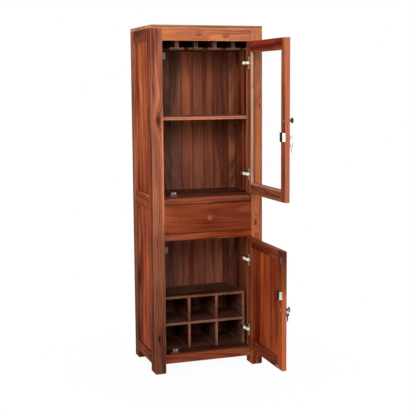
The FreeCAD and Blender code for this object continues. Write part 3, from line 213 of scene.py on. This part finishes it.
def sheesham(name, roughness=0.56, gloss=0.012, stave=0.0, rub_and_highlight_reach=0.0034, rub_and_highlight_strength=0.5, joint=0.0,
             flank_shade=None):
    """Lacquered sheesham, cut from rings round a slightly tilted heart.

    u, v and w run along, across and into each board from its middle, in metres.
    stave is the width of the strips of a glued board. The next two arguments say how far
    and how much the arrises are made paler, partly as lacquer rubbed through and partly
    as a painted highlight; joint is the reach of the dark line along a board's edges, and
    the last argument darkens the board's left side as painted shade.
    """
    s = Finish(name)
    u, v, w = s.parts(s.seen("board_at"))
    half_u, half_v, half_w = s.parts(s.seen("board_half"))
    heart_v, heart_w, heart_tilt = s.parts(s.seen("board_heart"))
    seed = s.seen("board_seed", "Fac")
    light, dark = s.seen("board_light", "Color"), s.seen("board_dark", "Color")

    # Each stave of a glued board has its own tone and its own heart. Odd multiples
    # of the seed keep the figures of boards and staves apart.
    heart_span, heart_before = 0.35, 0.17
    if stave:
        strip = s.sum("FLOOR", s.sum("DIVIDE", v, stave))
        toss = s.tree.nodes.new("ShaderNodeTexWhiteNoise")
        toss.noise_dimensions = "3D"
        s.put(toss.inputs["Vector"], s.point(strip, s.sum("MULTIPLY", seed, 3.7), 0.5))
        strip_tone = toss.outputs["Value"]
        seed = s.sum("MULTIPLY_ADD", strip_tone, 5.0, seed)
        heart_v = s.sum("MULTIPLY_ADD", strip_tone, heart_span, s.sum("SUBTRACT", v, heart_before))
    along = s.sum("MULTIPLY_ADD", seed, 1.7, u)
    shift = s.sum("MULTIPLY", seed, 2.3)

    # The rings wander about the heart and swell round the knots.
    wander_by, knot_stretch, knot_swell = 0.07, 2.2, 0.9
    e = 2.718
    wander = s.figure((along, 2.2), s.sum("MULTIPLY_ADD", v, 5.0, shift), (w, 5.0),
                      detail=3.0, rough=0.45)
    wander = s.sum("MULTIPLY", s.sum("SUBTRACT", wander, 0.5), wander_by)
    side = s.sum("SUBTRACT", s.sum("ADD", v, wander), heart_v)
    deep = s.sum("SUBTRACT", w, s.sum("MULTIPLY_ADD", heart_tilt, u, heart_w))
    ring = s.sum("SQRT", s.sum("MULTIPLY_ADD", side, side, s.sum("MULTIPLY", deep, deep)))
    ragged = s.sum("MULTIPLY_ADD", s.figure((u, 45.0), (v, 90.0), shift), 2.4, -0.2)
    dark_heart = 0.0
    for label in ("board_knot", "board_second_knot"):
        knot_u, knot_v, knot_size = s.parts(s.seen(label))
        du = s.sum("DIVIDE", s.sum("SUBTRACT", u, knot_u),
                   s.sum("MULTIPLY", knot_size, knot_stretch))
        dv = s.sum("DIVIDE", s.sum("SUBTRACT", v, knot_v), knot_size)
        far = s.sum("ADD", s.sum("MULTIPLY", du, du), s.sum("MULTIPLY", dv, dv))
        swell = s.sum("POWER", e, s.sum("MULTIPLY", far, -0.6))
        ring = s.sum("MULTIPLY_ADD", s.sum("MULTIPLY", swell, knot_size), knot_swell, ring)
        far = s.sum("MULTIPLY", far, ragged)
        core = s.step(s.sum("POWER", e, s.sum("MULTIPLY", far, -4.0)), 0.12, 0.85)
        dark_heart = s.sum("MAXIMUM", core, dark_heart)

    # Ring lines every 7 mm, broad bands, thin veins, slow drift and fibres make the tone.
    growth_drift, line_turn = 0.03, 900.0
    bands_share, lines_share, drift_share, fibre_share = 0.62, 0.22, 1.2, 0.45
    uneven = s.figure((along, 1.0), (ring, 30.0), shift)
    growth = s.sum("MULTIPLY_ADD", uneven, growth_drift, ring)
    lines = s.step(s.sum("SINE", s.sum("MULTIPLY", growth, line_turn)), -0.6, 1.0)
    bands = s.step(s.figure((along, 0.8), (growth, 46.0), shift, detail=3.0, rough=0.6),
                   0.33, 0.64)
    veins = s.step(s.figure((along, 1.2), (growth, 120.0), s.sum("ADD", shift, 4.0)), 0.56, 0.68)
    drift = s.figure((along, 3.5), (side, 9.0), shift)
    fibres = s.figure((along, 12.0), (v, 380.0), (w, 380.0))
    tone = s.sum("MULTIPLY_ADD", bands, bands_share, s.sum("MULTIPLY", lines, lines_share))
    tone = s.sum("MULTIPLY_ADD", s.sum("SUBTRACT", drift, 0.5), drift_share, tone)
    tone = s.sum("MULTIPLY_ADD", s.sum("SUBTRACT", fibres, 0.5), fibre_share, tone, clamp=True)
    colour = s.blend(tone, dark, light)

    # A strip of pale sapwood may run along a part of the board.
    sap_v, sap_half, sap_much = s.parts(s.seen("board_sap"))
    reach_at, reach_half, reach_soft = s.parts(s.seen("board_sap_reach"))
    sap_off = s.sum("ABSOLUTE", s.sum("SUBTRACT", s.sum("MULTIPLY_ADD", wander, 0.25, v), sap_v))
    reach = s.sum("ABSOLUTE", s.sum("SUBTRACT", u, reach_at))
    reach = s.step(s.sum("SUBTRACT", reach, reach_half), reach_soft, 0.0)
    sap = s.sum("MULTIPLY", s.step(s.sum("DIVIDE", sap_off, sap_half), 1.2, 0.7), sap_much)
    sap = s.sum("MULTIPLY", sap, reach)
    sap_colour = s.blend(s.sum("MULTIPLY", lines, 0.4), s.seen("board_sapwood", "Color"), light)
    colour = s.blend(sap, colour, sap_colour)

    # Veins and knots darken the wood, and veins are weaker in the sap.
    vein_tint, knot_tint = (0.45, 0.4, 0.45, 1), (0.5, 0.35, 0.35, 1)
    vein_much = s.sum("MULTIPLY", veins, s.sum("MULTIPLY_ADD", sap, -0.45, 0.5))
    colour = s.blend(vein_much, colour, s.tinted(dark, vein_tint))
    colour = s.blend(s.sum("MULTIPLY", dark_heart, 0.8), colour, s.tinted(dark, knot_tint))

    # Staves differ in tone and meet in a thin glue line; a joint shows as a dark edge.
    glue_line, joint_tint = stain(52, 30, 22), (0.4, 0.35, 0.35, 1)
    if stave:
        shade = s.step(strip_tone, 0.0, 1.0, 0.78, 1.25)
        colour = s.tinted(colour, s.point(shade, shade, shade))
        seam = s.sum("SUBTRACT", s.sum("FRACT", s.sum("DIVIDE", v, stave)), 0.5)
        colour = s.blend(s.step(s.sum("ABSOLUTE", seam), 0.488, 0.5, 0.0, 0.5), colour, glue_line)
    if joint:
        close = s.sum("SUBTRACT", half_v, s.sum("ABSOLUTE", v))
        close = s.step(close, joint, joint * 0.55)
        colour = s.blend(s.sum("MULTIPLY", close, 0.7), colour, s.tinted(dark, joint_tint))
    # Painted shade: the board's left face, and a thin band beside its left arris, are tinted
    # darker.
    if flank_shade:
        outside = s.step(s.sum("ADD", v, half_v), 0.0025, 0.001)
        colour = s.blend(outside, colour, s.tinted(colour, flank_shade))

    # Open pores, and arrises made paler in patches, partly where the lacquer is rubbed through and
    # partly as a painted highlight.
    pore_brown, bare_and_highlight_tint = stain(48, 24, 17), (1.5, 1.6, 1.8, 1)
    pore_depth = 0.0004
    pores = s.step(s.figure((along, 60.0), (v, 1500.0), (w, 1500.0), detail=1.0), 0.57, 0.7)
    colour = s.blend(s.sum("MULTIPLY", pores, 0.35), colour, pore_brown)
    gap_u = s.sum("SUBTRACT", half_u, s.sum("ABSOLUTE", u))
    gap_v = s.sum("SUBTRACT", half_v, s.sum("ABSOLUTE", v))
    gap_w = s.sum("SUBTRACT", half_w, s.sum("ABSOLUTE", w))
    to_arris = s.sum("MAXIMUM", s.sum("MINIMUM", gap_u, gap_v),
                     s.sum("MINIMUM", s.sum("MAXIMUM", gap_u, gap_v), gap_w))
    patchy = s.figure((along, 9.0), (v, 9.0), shift, detail=3.0)
    rub_and_highlight = s.sum("MULTIPLY", s.step(to_arris, rub_and_highlight_reach, rub_and_highlight_reach * 0.15),
                   s.step(patchy, 0.25, 0.6, 0.3, 1.0))
    colour = s.blend(s.sum("MULTIPLY", rub_and_highlight, rub_and_highlight_strength), colour, s.tinted(light, bare_and_highlight_tint))
    s.put(s.surface.inputs["Base Color"], colour)
    dull = s.sum("MULTIPLY_ADD", patchy, 0.16, roughness - 0.08)
    dull = s.sum("MULTIPLY_ADD", pores, 0.2, dull)
    s.put(s.surface.inputs["Roughness"], s.sum("MULTIPLY_ADD", rub_and_highlight, -0.08, dull))
    s.surface.inputs["Specular IOR Level"].default_value = gloss
    s.bump(s.sum("MULTIPLY_ADD", pores, -1.0, s.sum("MULTIPLY", lines, 0.25)), 0.25, pore_depth)
    return s.material


def shades_of(middle, contrast):
    """The light and the dark wood of a board, on either side of its middle colour."""
    lighter, darker = (34, 30, 22), (40, 26, 18)
    light = [min(250, part + contrast * more) for part, more in zip(middle, lighter)]
    dark = [max(8, part - contrast * less) for part, less in zip(middle, darker)]
    return stain(*light), stain(*dark)


X, Y, Z = range(3)
left_to_right, front_to_back, back_to_front, top_down = (X, 1), (Y, 1), (Y, -1), (Z, -1)
stock = random.Random(31)


def boards(node, name, order, looks, finish):
    """Gives each board of a node its grain direction, its own colours and its own figure.

    A look gives the colour of the wood at the near end and, if it differs, at
    the far end, and where the heart, knots (with their size) and sapwood (with
    its half width and strength) lie, in metres from the middle of the board.
    sap_reach says where along the board the sapwood is, half its length and how
    softly it ends. grain and across name the axes that the board's own follow.
    """
    no_knot, no_sap, whole_length = (9.0, 9.0, 0.01), (9.0, 0.01, 0.0), (0.0, 9.0, 0.1)
    pale_sapwood = (236, 176, 128)
    piece = dressed_copy(node, name)
    mesh = piece.data
    count = len(mesh.vertices)
    places = np.empty(count * 3)
    mesh.vertices.foreach_get("co", places)
    places = places.reshape(-1, 3)
    number = np.empty(count, dtype=np.int32)
    mesh.attributes["solid_number"].data.foreach_get("value", number)
    mesh.attributes.remove(mesh.attributes["solid_number"])
    groups = [np.where(number == i)[0] for i in sorted(set(number))]

    def rank(group):
        middle = (places[group].min(axis=0) + places[group].max(axis=0)) / 2
        return [round(middle[axis] * way, 3) for axis, way in order]
    groups.sort(key=rank)
    at, half, heart, knot, second, sap, reach = (np.zeros((count, 3)) for _ in range(7))
    light, dark, pale = (np.ones((count, 4)) for _ in range(3))
    seed = np.zeros((count, 1))
    for i, group in enumerate(groups):
        look = looks[i % len(looks)]
        low, high = places[group].min(axis=0), places[group].max(axis=0)
        size = high - low
        axes = sorted(range(3), key=lambda axis: -size[axis])
        for place, direction in enumerate(("grain", "across")):
            if direction in look:
                axes.remove(look[direction])
                axes.insert(place, look[direction])
        for k, axis in enumerate(axes):
            at[group, k] = places[group][:, axis] - (low[axis] + high[axis]) / 2
            half[group, k] = size[axis] / 2
        heart_side = stock.choice((-1, 1))
        drawn_heart = (stock.uniform(-0.7, 0.7) * size[axes[1]],
                       heart_side * stock.uniform(0.03, 0.09), stock.uniform(-0.05, 0.05))
        heart[group] = look.get("heart", drawn_heart)
        knot[group] = look.get("knot", no_knot)
        second[group] = look.get("second_knot", no_knot)
        sap[group] = look.get("sap", no_sap)
        reach[group] = look.get("sap_reach", whole_length)
        contrast = look.get("contrast", 1.0)
        near_end = shades_of(look["wood"], contrast)
        far_end = shades_of(look.get("far", look["wood"]), contrast)
        share = ((at[group, 0] / half[group, 0] + 1) / 2)[:, None]
        for store, near, far in zip((light, dark), near_end, far_end):
            store[group] = (1 - share) * np.array(near) + share * np.array(far)
        pale[group] = stain(*look.get("sapwood", pale_sapwood))
        seed[group] = stock.uniform(1.0, 9.0)
    kinds = {1: ("FLOAT", "value"), 3: ("FLOAT_VECTOR", "vector"), 4: ("FLOAT_COLOR", "color")}
    for label, values in {"board_at": at, "board_half": half, "board_heart": heart,
                          "board_knot": knot, "board_second_knot": second,
                          "board_sap": sap, "board_sap_reach": reach,
                          "board_light": light, "board_dark": dark,
                          "board_sapwood": pale, "board_seed": seed}.items():
        kind, field = kinds[values.shape[1]]
        store = mesh.attributes.new(label, kind, "POINT")
        store.data.foreach_set(field, values.astype(np.float32).ravel())
    mesh.materials.append(finish)
    return piece


lacquered = sheesham("lacquered_sheesham")
# The posts grade from darker wood at the foot to lighter wood at the top, partly their own tone
# and partly painted light from above. The left front post's left face is also darkened as painted
# shade.
boards("front_post_left", "left_front_post", [left_to_right],
       [{"wood": (85, 36, 25), "far": (150, 80, 59), "contrast": 1.2, "across": X,
         "heart": (-0.078, 0.03, 0.02), "knot": (0.43, 0.004, 0.027),
         "second_knot": (-0.70, -0.006, 0.018), "sap": (0.026, 0.007, 0.85),
         "sap_reach": (0.17, 0.17, 0.2), "sapwood": (204, 124, 80)}],
       sheesham("post_sheesham", flank_shade=(0.8, 0.6, 0.5, 1)))
boards("front_post_right", "right_front_post", [left_to_right],
       [{"wood": (148, 70, 38), "far": (156, 86, 60), "across": X,
         "knot": (-0.118, -0.008, 0.016), "second_knot": (0.50, 0.015, 0.012),
         "sap": (0.007, 0.013, 0.75), "sap_reach": (0.24, 0.22, 0.12),
         "sapwood": (182, 98, 50)}], lacquered)
boards("back_post_left", "left_back_post", [left_to_right],
       [{"wood": (82, 33, 19), "far": (152, 84, 58)}], lacquered)
boards("back_post_right", "right_back_post", [left_to_right],
       [{"wood": (110, 58, 42), "far": (140, 80, 56)}], lacquered)

# Front rails. Four sheesham rails are tenoned between the front posts, flush with
# them: one over each door, one on each side of the drawer and one at the bottom.
# Where they meet the drawer, a dark line shows.
boards("front_top_rail", "top_rail", [left_to_right],
       [{"wood": (160, 87, 52), "far": (172, 97, 68), "knot": (-0.044, 0.0, 0.012),
         "second_knot": (0.10, -0.010, 0.006), "contrast": 1.1}], lacquered)
beside_drawer = sheesham("rail_sheesham", joint=0.005, rub_and_highlight_strength=0.1)
boards("front_upper_rail", "upper_rail", [left_to_right],
       [{"wood": (114, 51, 33)}], beside_drawer)
boards("front_lower_rail", "lower_rail", [left_to_right],
       [{"wood": (97, 40, 29), "far": (150, 60, 27)}], beside_drawer)
boards("front_bottom_rail", "bottom_rail", [left_to_right],
       [{"wood": (118, 50, 31)}], lacquered)


# Side frames. Three rails on each side are tenoned into the posts, and upright
# planks with bevelled edges stand between them in grooves, set back from the
# face of the rails.
def plain_looks(contrast, *woods):
    """Looks for a row of boards that differ only in the colour of their wood."""
    return [{"wood": wood, "contrast": contrast} for wood in woods]


planked = sheesham("planked_sheesham", joint=0.0085)
boards("side_rails", "side_rails", [left_to_right, top_down],
       plain_looks(1.0, (102, 35, 18), (158, 71, 44), (115, 47, 24)), lacquered)
boards("left_side_planks", "left_side_planks", [top_down, back_to_front],
       plain_looks(1.6, (168, 75, 40), (162, 70, 33), (146, 53, 22),
                   (118, 46, 22), (139, 48, 18), (142, 51, 20)), planked)
boards("right_side_planks", "right_side_planks", [top_down, back_to_front],
       plain_looks(1.6, (138, 63, 37), (138, 61, 33), (128, 51, 26),
                   (96, 38, 22), (114, 43, 22), (118, 46, 25)), planked)

# Back frame. Three rails are tenoned between the back posts and hold a wall of
# upright planks in grooves. Their bevelled joints show inside the cabinet. The
# lower planks are lighter towards their upper ends: painted light against the shade
# that the rail above them casts.
boards("back_rails", "back_rails", [top_down], [{"wood": (112, 62, 42)}], lacquered)
upper_back = plain_looks(0.55, (104, 68, 55), (98, 64, 52), (124, 79, 63), (138, 80, 60),
                         (132, 74, 54), (134, 76, 54), (120, 64, 46), (114, 62, 46))
upper_back[3]["far"] = (168, 92, 64)
lower_back = plain_looks(0.55, (103, 64, 52), (103, 64, 52), (113, 68, 54), (124, 68, 52),
                         (124, 68, 51), (128, 71, 55), (138, 80, 62), (106, 55, 42))
# Painted light: each lower plank is a quarter lighter at its upper end.
for look in lower_back:
    look["far"] = [min(250, round(part * 1.25)) for part in look["wood"]]
boards("back_planks", "back_planks", [top_down, left_to_right], upper_back + lower_back, planked)

# Level boards. The ceiling, the two floors and the dust board under the drawer
# are glued up from narrow staves. Plain battens on the side walls carry the
# floors, the dust board and the shelf.
glued = sheesham("glued_sheesham", roughness=0.5, stave=0.083)
boards("ceiling_board", "ceiling", [left_to_right], [{"wood": (74, 44, 34)}], glued)
boards("upper_floor_board", "upper_floor", [left_to_right], [{"wood": (76, 34, 24)}], glued)
boards("drawer_dust_board", "dust_board", [left_to_right], [{"wood": (96, 54, 40)}], glued)
boards("bottom_board", "bottom", [left_to_right], [{"wood": (72, 34, 24)}], glued)
boards("board_cleats", "battens", [top_down, left_to_right], [{"wood": (92, 48, 34)}], lacquered)

# Top board. It is glued up from wide staves of the same wood, lacquered a little
# smoother than the frame, and lies on the posts and rails, flush with them.
boards("top_board", "top_board", [left_to_right], [{"wood": (176, 118, 86), "contrast": 0.8}],
       sheesham("top_sheesham", roughness=0.42, stave=0.1))

# Shelf. A loose board, glued up from narrow staves, rests on two battens and
# reaches from wall to wall. Its front edge is pale, partly rubbed by use and partly a painted
# highlight.
boards("upper_shelf", "shelf", [left_to_right], [{"wood": (152, 90, 65)}],
       sheesham("shelf_sheesham", roughness=0.5, stave=0.083, rub_and_highlight_reach=0.011))

# Rails for stemmed glasses. Each is a batten under the ceiling with a flat slat
# glued below it, so that the feet of the glasses slide in over the slats.
boards("glass_rails", "glass_rails", [top_down, left_to_right],
       [{"wood": (72, 42, 33)}, {"wood": (84, 48, 37)}], lacquered)

# Bottle rack. A shelf and two dividers of thin sheesham are halved into each
# other between two ends, under a top board. Their front edges are pale, partly rubbed and partly a
# painted highlight, and the boards are dark, partly their own wood and partly painted shade in the
# cells.
rack_sheesham = sheesham("rack_sheesham", roughness=0.5, rub_and_highlight_reach=0.012, rub_and_highlight_strength=0.95)
boards("bottle_rack_boards", "rack_boards", [top_down],
       [{"wood": (59, 21, 13), "contrast": 1.5}, {"wood": (84, 44, 34)}], rack_sheesham)
boards("bottle_rack_uprights", "rack_uprights", [left_to_right],
       [{"wood": (84, 44, 34), "grain": Y}], rack_sheesham)

# Drawer. Plain front, flush with the frame; sides and back of thin stock, a thin
# bottom in grooves, and runners, guides and kickers on the side walls.
boards("drawer_guides", "drawer_guides", [top_down, left_to_right],
       [{"wood": (120, 72, 50)}], lacquered)
boards("drawer_front", "drawer_front", [left_to_right],
       [{"wood": (129, 57, 30), "far": (110, 43, 25), "knot": (-0.16, -0.02, 0.006),
         "contrast": 0.7}], lacquered)
boards("drawer_box", "drawer_box", [left_to_right], [{"wood": (150, 92, 62)}], lacquered)
boards("drawer_bottom", "drawer_bottom", [left_to_right], [{"wood": (146, 92, 64)}], glued)

# Door frames and panels. Both doors are tenoned frames of sheesham. The upper one
# holds a clear pane behind four beads, and the lower one three bevelled planks
# in a groove.
boards("upper_door_frame", "upper_door_frame", [front_to_back, top_down],
       [{"wood": (134, 62, 40), "far": (154, 77, 38), "sap": (-0.027, 0.006, 0.9),
         "sapwood": (154, 92, 70)},
        {"wood": (114, 33, 16)}, {"wood": (134, 70, 48)},
        {"wood": (120, 58, 37), "far": (112, 54, 34)}], lacquered)
boards("upper_door_beads", "upper_door_beads", [front_to_back, top_down],
       [{"wood": (112, 50, 32)}, {"wood": (116, 48, 30)}, {"wood": (150, 92, 70)},
        {"wood": (172, 124, 94), "contrast": 0.5}], lacquered)
boards("lower_door_frame", "lower_door_frame", [front_to_back, top_down],
       [{"wood": (156, 70, 22), "far": (78, 30, 16), "sap": (-0.031, 0.005, 0.8),
         "sap_reach": (-0.12, 0.18, 0.06), "sapwood": (170, 87, 66)},
        {"wood": (118, 45, 29)}, {"wood": (96, 28, 9)},
        {"wood": (128, 62, 38)}], lacquered)
boards("lower_door_planks", "lower_door_planks", [front_to_back],
       [{"wood": (138, 53, 29)}, {"wood": (144, 58, 23)}, {"wood": (124, 42, 15)}], planked)

# Knobs. Each is turned from one block of sheesham, with a narrow neck and a domed
# head, and is held by a screw from behind.
boards("drawer_knob", "drawer_turned_knob", [left_to_right],
       [{"wood": (96, 48, 32), "contrast": 1.4}], lacquered)
boards("upper_door_knob", "upper_door_turned_knob", [left_to_right],
       [{"wood": (112, 54, 36)}], lacquered)
boards("lower_door_knob", "lower_door_turned_knob", [left_to_right],
       [{"wood": (116, 52, 34)}], lacquered)


# Concealed hinges. Pressed, nickel plated steel: a cup let into the door, a bent
# link, and an arm that clips over a zinc plate screwed to the post. The screws
# of the knobs are of the same steel as theirs.
def metal(name, colour, roughness, metallic=1.0, scuffs=0.25):
    """Plated or lacquered metal with fine brushing, dull patches and small scuffs."""
    level_brushing, upright_brushing, patch_scale = 900.0, 4000.0, 160.0
    s = Finish(name)
    where = s.placed()
    x, y, z = s.parts(where)
    brushed = s.figure((x, level_brushing), (y, level_brushing), (z, upright_brushing))
    patches = s.noise(where, scale=patch_scale, detail=3.0)
    shade = s.step(patches, 0.3, 0.7, 1.0 - scuffs * 0.5, 1.0)
    s.put(s.surface.inputs["Base Color"], s.tinted(colour, s.point(shade, shade, shade)))
    rough = s.sum("MULTIPLY_ADD", patches, scuffs * 0.5, roughness - 0.1)
    s.put(s.surface.inputs["Roughness"], s.sum("MULTIPLY_ADD", brushed, 0.12, rough))
    s.surface.inputs["Metallic"].default_value = metallic
    s.bump(brushed, strength=0.12, depth=0.0001)
    return s.material


def fitting(node, name, finish):
    """A metal piece on the lines of its CAD node."""
    piece = dressed_copy(node, name, smooth_angle=34.0)
    piece.data.attributes.remove(piece.data.attributes["solid_number"])
    piece.data.materials.append(finish)
    return piece


nickel = metal("nickel_plate", stain(250, 248, 244), 0.34, metallic=0.15)
bright_nickel = metal("bright_nickel", stain(250, 246, 242), 0.24, scuffs=0.1)
dull_zinc = metal("dull_zinc", stain(132, 118, 108), 0.42, metallic=0.85)
cup_steel = metal("cup_steel", stain(168, 136, 100), 0.4, metallic=0.3)
screw_steel = metal("screw_steel", stain(206, 196, 184), 0.36, metallic=0.6)
fitting("hinge_arms", "hinge_arms_plated", bright_nickel)
for node in ("lock_strike_plates", "upper_hinge_links", "lower_hinge_links"):
    fitting(node, node + "_plated", nickel)
fitting("hinge_plates", "hinge_plates_zinc", dull_zinc)
for node in ("upper_hinge_cups", "lower_hinge_cups"):
    fitting(node, node + "_pressed", cup_steel)
for node in ("hinge_plate_screws", "upper_door_screws", "lower_door_screws", "drawer_knob_screw"):
    fitting(node, node + "_driven", screw_steel)

# Magnetic catches. A brown plastic case holds a magnet between two steel poles. Two
# catches stand on the floor boards and two on the left post, whose poles take a
# darker copy of the steel as painted shade, and each pulls on a flat steel strike on the rear of a
# door.
pole_length = 0.0018
left_post_within = -0.215
catch_case = metal("catch_case", stain(88, 56, 48), 0.5, metallic=0.0)
catches = fitting("magnetic_catches", "catches", catch_case)
catches.data.materials.append(nickel)
catches.data.materials.append(metal("shaded_pole", stain(104, 82, 74), 0.5, metallic=0.2))
in_case, floor_pole, post_pole = range(3)
behind_poles = min(vertex.co.y for vertex in catches.data.vertices) + pole_length
for polygon in catches.data.polygons:
    if polygon.center.y >= behind_poles:
        polygon.material_index = in_case
    elif polygon.center.x < left_post_within:
        polygon.material_index = post_pole
    else:
        polygon.material_index = floor_pole
strike_steel = metal("strike_steel", stain(124, 92, 78), 0.45, metallic=0.3)
for node in ("upper_door_strikes", "lower_door_strikes"):
    fitting(node, node + "_steel", strike_steel)

# Locks and keys. Each rim lock is a steel case behind the stile, with a barrel
# through it, a bright rosette outside and a sliding bolt. The faces of the case that
# do not turn to the front are dark, partly dark lacquer and partly painted shade, and
# its front faces are bright. The keys are flat and their rings are of wire; the lower
# ring hangs from the neck of its knob.
rosette_depth = 0.0025
faces_front = -0.9
thinner_wire = 0.0001
dark_lacquer_and_shade = metal("dark_lacquer_and_shade", stain(38, 34, 33), 0.4, metallic=0.3)
bright_steel = metal("bright_steel", stain(238, 234, 226), 0.26, metallic=0.7)
worn_steel = metal("worn_steel", stain(206, 192, 162), 0.4, metallic=0.3, scuffs=0.7)
for node, face in (("upper_lock_body", nickel), ("lower_lock_body", worn_steel)):
    case = fitting(node, node + "_case", dark_lacquer_and_shade)
    case.data.materials.append(face)
    rosette = max(vertex.co.x for vertex in case.data.vertices) - rosette_depth
    # Painted shade: faces that do not turn to the front keep the dark finish; the front faces and
    # the rosette take the bright metal.
    for polygon in case.data.polygons:
        bright = polygon.normal.y < faces_front or polygon.center.x > rosette
        polygon.material_index = int(bright)
for node in ("upper_lock_bolt", "lower_lock_bolt", "upper_lock_plug", "lower_lock_plug",
             "lower_key_ring"):
    fitting(node, node + "_bright", bright_steel)
pale_bronze = metal("pale_bronze", stain(222, 198, 180), 0.3, metallic=0.5)
for node in ("upper_key", "upper_spare_key"):
    fitting(node, node + "_bronze", pale_bronze)
# The facets of this ring clear the key's hole at the ends of the swing.
swinging_ring = fitting("upper_key_ring", "upper_key_ring_bronze", pale_bronze)
outward = [vertex.normal.copy() for vertex in swinging_ring.data.vertices]
for vertex, normal in zip(swinging_ring.data.vertices, outward):
    vertex.co -= normal * thinner_wire
fitting("lower_key", "lower_key_dark", dark_lacquer_and_shade)

# Pane. Clear float glass, faintly green, with a glossy skin that a few smears make
# less even. It lies in the rebate of the upper door, and the beads hold it.
pane = dressed_copy("upper_door_glass", "pane")
s = Finish("clear_pane")
edge_on = s.tree.nodes.new("ShaderNodeLayerWeight")
edge_on.inputs["Blend"].default_value = 0.5
smears = s.noise(s.placed(), scale=9.0, detail=3.0)
s.surface.inputs["Base Color"].default_value = stain(250, 253, 251)
s.surface.inputs["IOR"].default_value = 1.45
s.surface.inputs["Transmission Weight"].default_value = 1.0
s.put(s.surface.inputs["Roughness"], s.step(smears, 0.4, 0.75, 0.0, 0.02))
s.put(s.surface.inputs["Alpha"], s.step(edge_on.outputs["Facing"], 0.4, 1.0, 0.01, 0.04))
pane.data.materials.append(s.material)


# Floor, surround and light. A wide pale floor keeps the cabinet's shadow and goes
# over into a white surround, which the camera, gloss and glass see. The light
# is plain and soft, from the surround and four large lamps.
def seen_directly(tree):
    """1 for what the camera, gloss and glass see, and 0 for the light on the object."""
    ray = tree.nodes.new("ShaderNodeLightPath")
    seen = ray.outputs["Is Camera Ray"]
    for kind in ("Is Glossy Ray", "Is Transmission Ray"):
        either = tree.nodes.new("ShaderNodeMath")
        either.operation = "MAXIMUM"
        tree.links.new(seen, either.inputs[0])
        tree.links.new(ray.outputs[kind], either.inputs[1])
        seen = either.outputs[0]
    return seen


floor_half = 14.0
shadow_from, white_from, white_near = 0.25, 1.0, 0.96
floor_mesh = bpy.data.meshes.new("floor")
shaping = bmesh.new()
bmesh.ops.create_grid(shaping, x_segments=8, y_segments=8, size=floor_half)
shaping.to_mesh(floor_mesh)
shaping.free()
floor = bpy.data.objects.new("floor", floor_mesh)
bpy.context.scene.collection.objects.link(floor)
s = Finish("pale_floor")
s.surface.inputs["Base Color"].default_value = (0.86, 0.86, 0.86, 1)
s.surface.inputs["Roughness"].default_value = 0.7
x, y, z = s.parts(s.placed())
away = s.sum("SQRT", s.sum("ADD", s.sum("MULTIPLY", x, x), s.sum("MULTIPLY", y, y)))
white_share = s.step(away, shadow_from, white_from, white_near, 1.0)
glow = s.tree.nodes.new("ShaderNodeEmission")
glow.inputs["Color"].default_value = (1, 1, 1, 1)
mixed = s.tree.nodes.new("ShaderNodeMixShader")
s.put(mixed.inputs[0], s.sum("MULTIPLY", seen_directly(s.tree), white_share))
s.put(mixed.inputs[1], s.surface.outputs[0])
s.put(mixed.inputs[2], glow.outputs[0])
s.put(s.out.inputs[0], mixed.outputs[0])
floor_mesh.materials.append(s.material)

world = bpy.data.worlds.new("studio")
bpy.context.scene.world = world
world.use_nodes = True
tree = world.node_tree
tree.nodes.clear()
mix = tree.nodes.new("ShaderNodeMixShader")
tree.links.new(seen_directly(tree), mix.inputs[0])
for strength, socket in ((0.4, mix.inputs[1]), (1.0, mix.inputs[2])):
    surround = tree.nodes.new("ShaderNodeBackground")
    surround.inputs["Color"].default_value = (1, 1, 1, 1)
    surround.inputs["Strength"].default_value = strength
    tree.links.new(surround.outputs[0], socket)
out = tree.nodes.new("ShaderNodeOutputWorld")
tree.links.new(mix.outputs[0], out.inputs[0])


def softbox(name, place, aim, width, height, watts):
    """A large soft lamp that faces a point."""
    lamp = bpy.data.lights.new(name, "AREA")
    lamp.shape = "RECTANGLE"
    lamp.size, lamp.size_y, lamp.energy = width, height, watts
    lit = bpy.data.objects.new(name, lamp)
    facing = (Vector(aim) - Vector(place)).to_track_quat("-Z", "Y").to_matrix().to_4x4()
    lit.matrix_world = Matrix.Translation(place) @ facing
    bpy.context.scene.collection.objects.link(lit)


softbox("front_lamp", (-1.1, -3.9, 2.9), (0, 0, 0.95), width=2.0, height=2.0, watts=135)
softbox("left_lamp", (-4.0, -1.6, 1.8), (0, 0, 0.9), width=1.6, height=1.8, watts=60)
softbox("right_lamp", (3.4, -2.4, 2.2), (0, 0, 0.9), width=1.6, height=1.8, watts=30)
softbox("rear_lamp", (1.3, 4.2, 2.6), (0, 0, 0.9), width=2.0, height=2.0, watts=70)

# Camera. It stands where the photograph was taken from: in front, to the left and
# above the middle, looking a little down. Its place, turn and focal length were
# fitted to the corners and edges of the cabinet in the photograph.
stands_at = (-1.5815, -4.7688, 1.5056)
frame_px, focal_px, sensor_mm = 412.0, 938.2, 36.0
yaw, pitch, roll = math.radians(18.93), math.radians(7.426), math.radians(-0.42)
forward = Vector((math.sin(yaw) * math.cos(pitch), math.cos(yaw) * math.cos(pitch),
                  -math.sin(pitch)))
level = Vector((math.cos(yaw), -math.sin(yaw), 0))
above = level.cross(forward)
right = level * math.cos(roll) + above * math.sin(roll)
up = above * math.cos(roll) - level * math.sin(roll)
eye = bpy.data.cameras.new("camera")
eye.sensor_fit = "HORIZONTAL"
eye.sensor_width = sensor_mm
eye.lens = sensor_mm * focal_px / frame_px
camera = bpy.data.objects.new("camera", eye)
turn = Matrix((right, up, -forward)).transposed().to_4x4()
camera.matrix_world = Matrix.Translation(stands_at) @ turn
bpy.context.scene.collection.objects.link(camera)
bpy.context.scene.camera = camera
bpy.context.scene.view_settings.view_transform = "Standard"
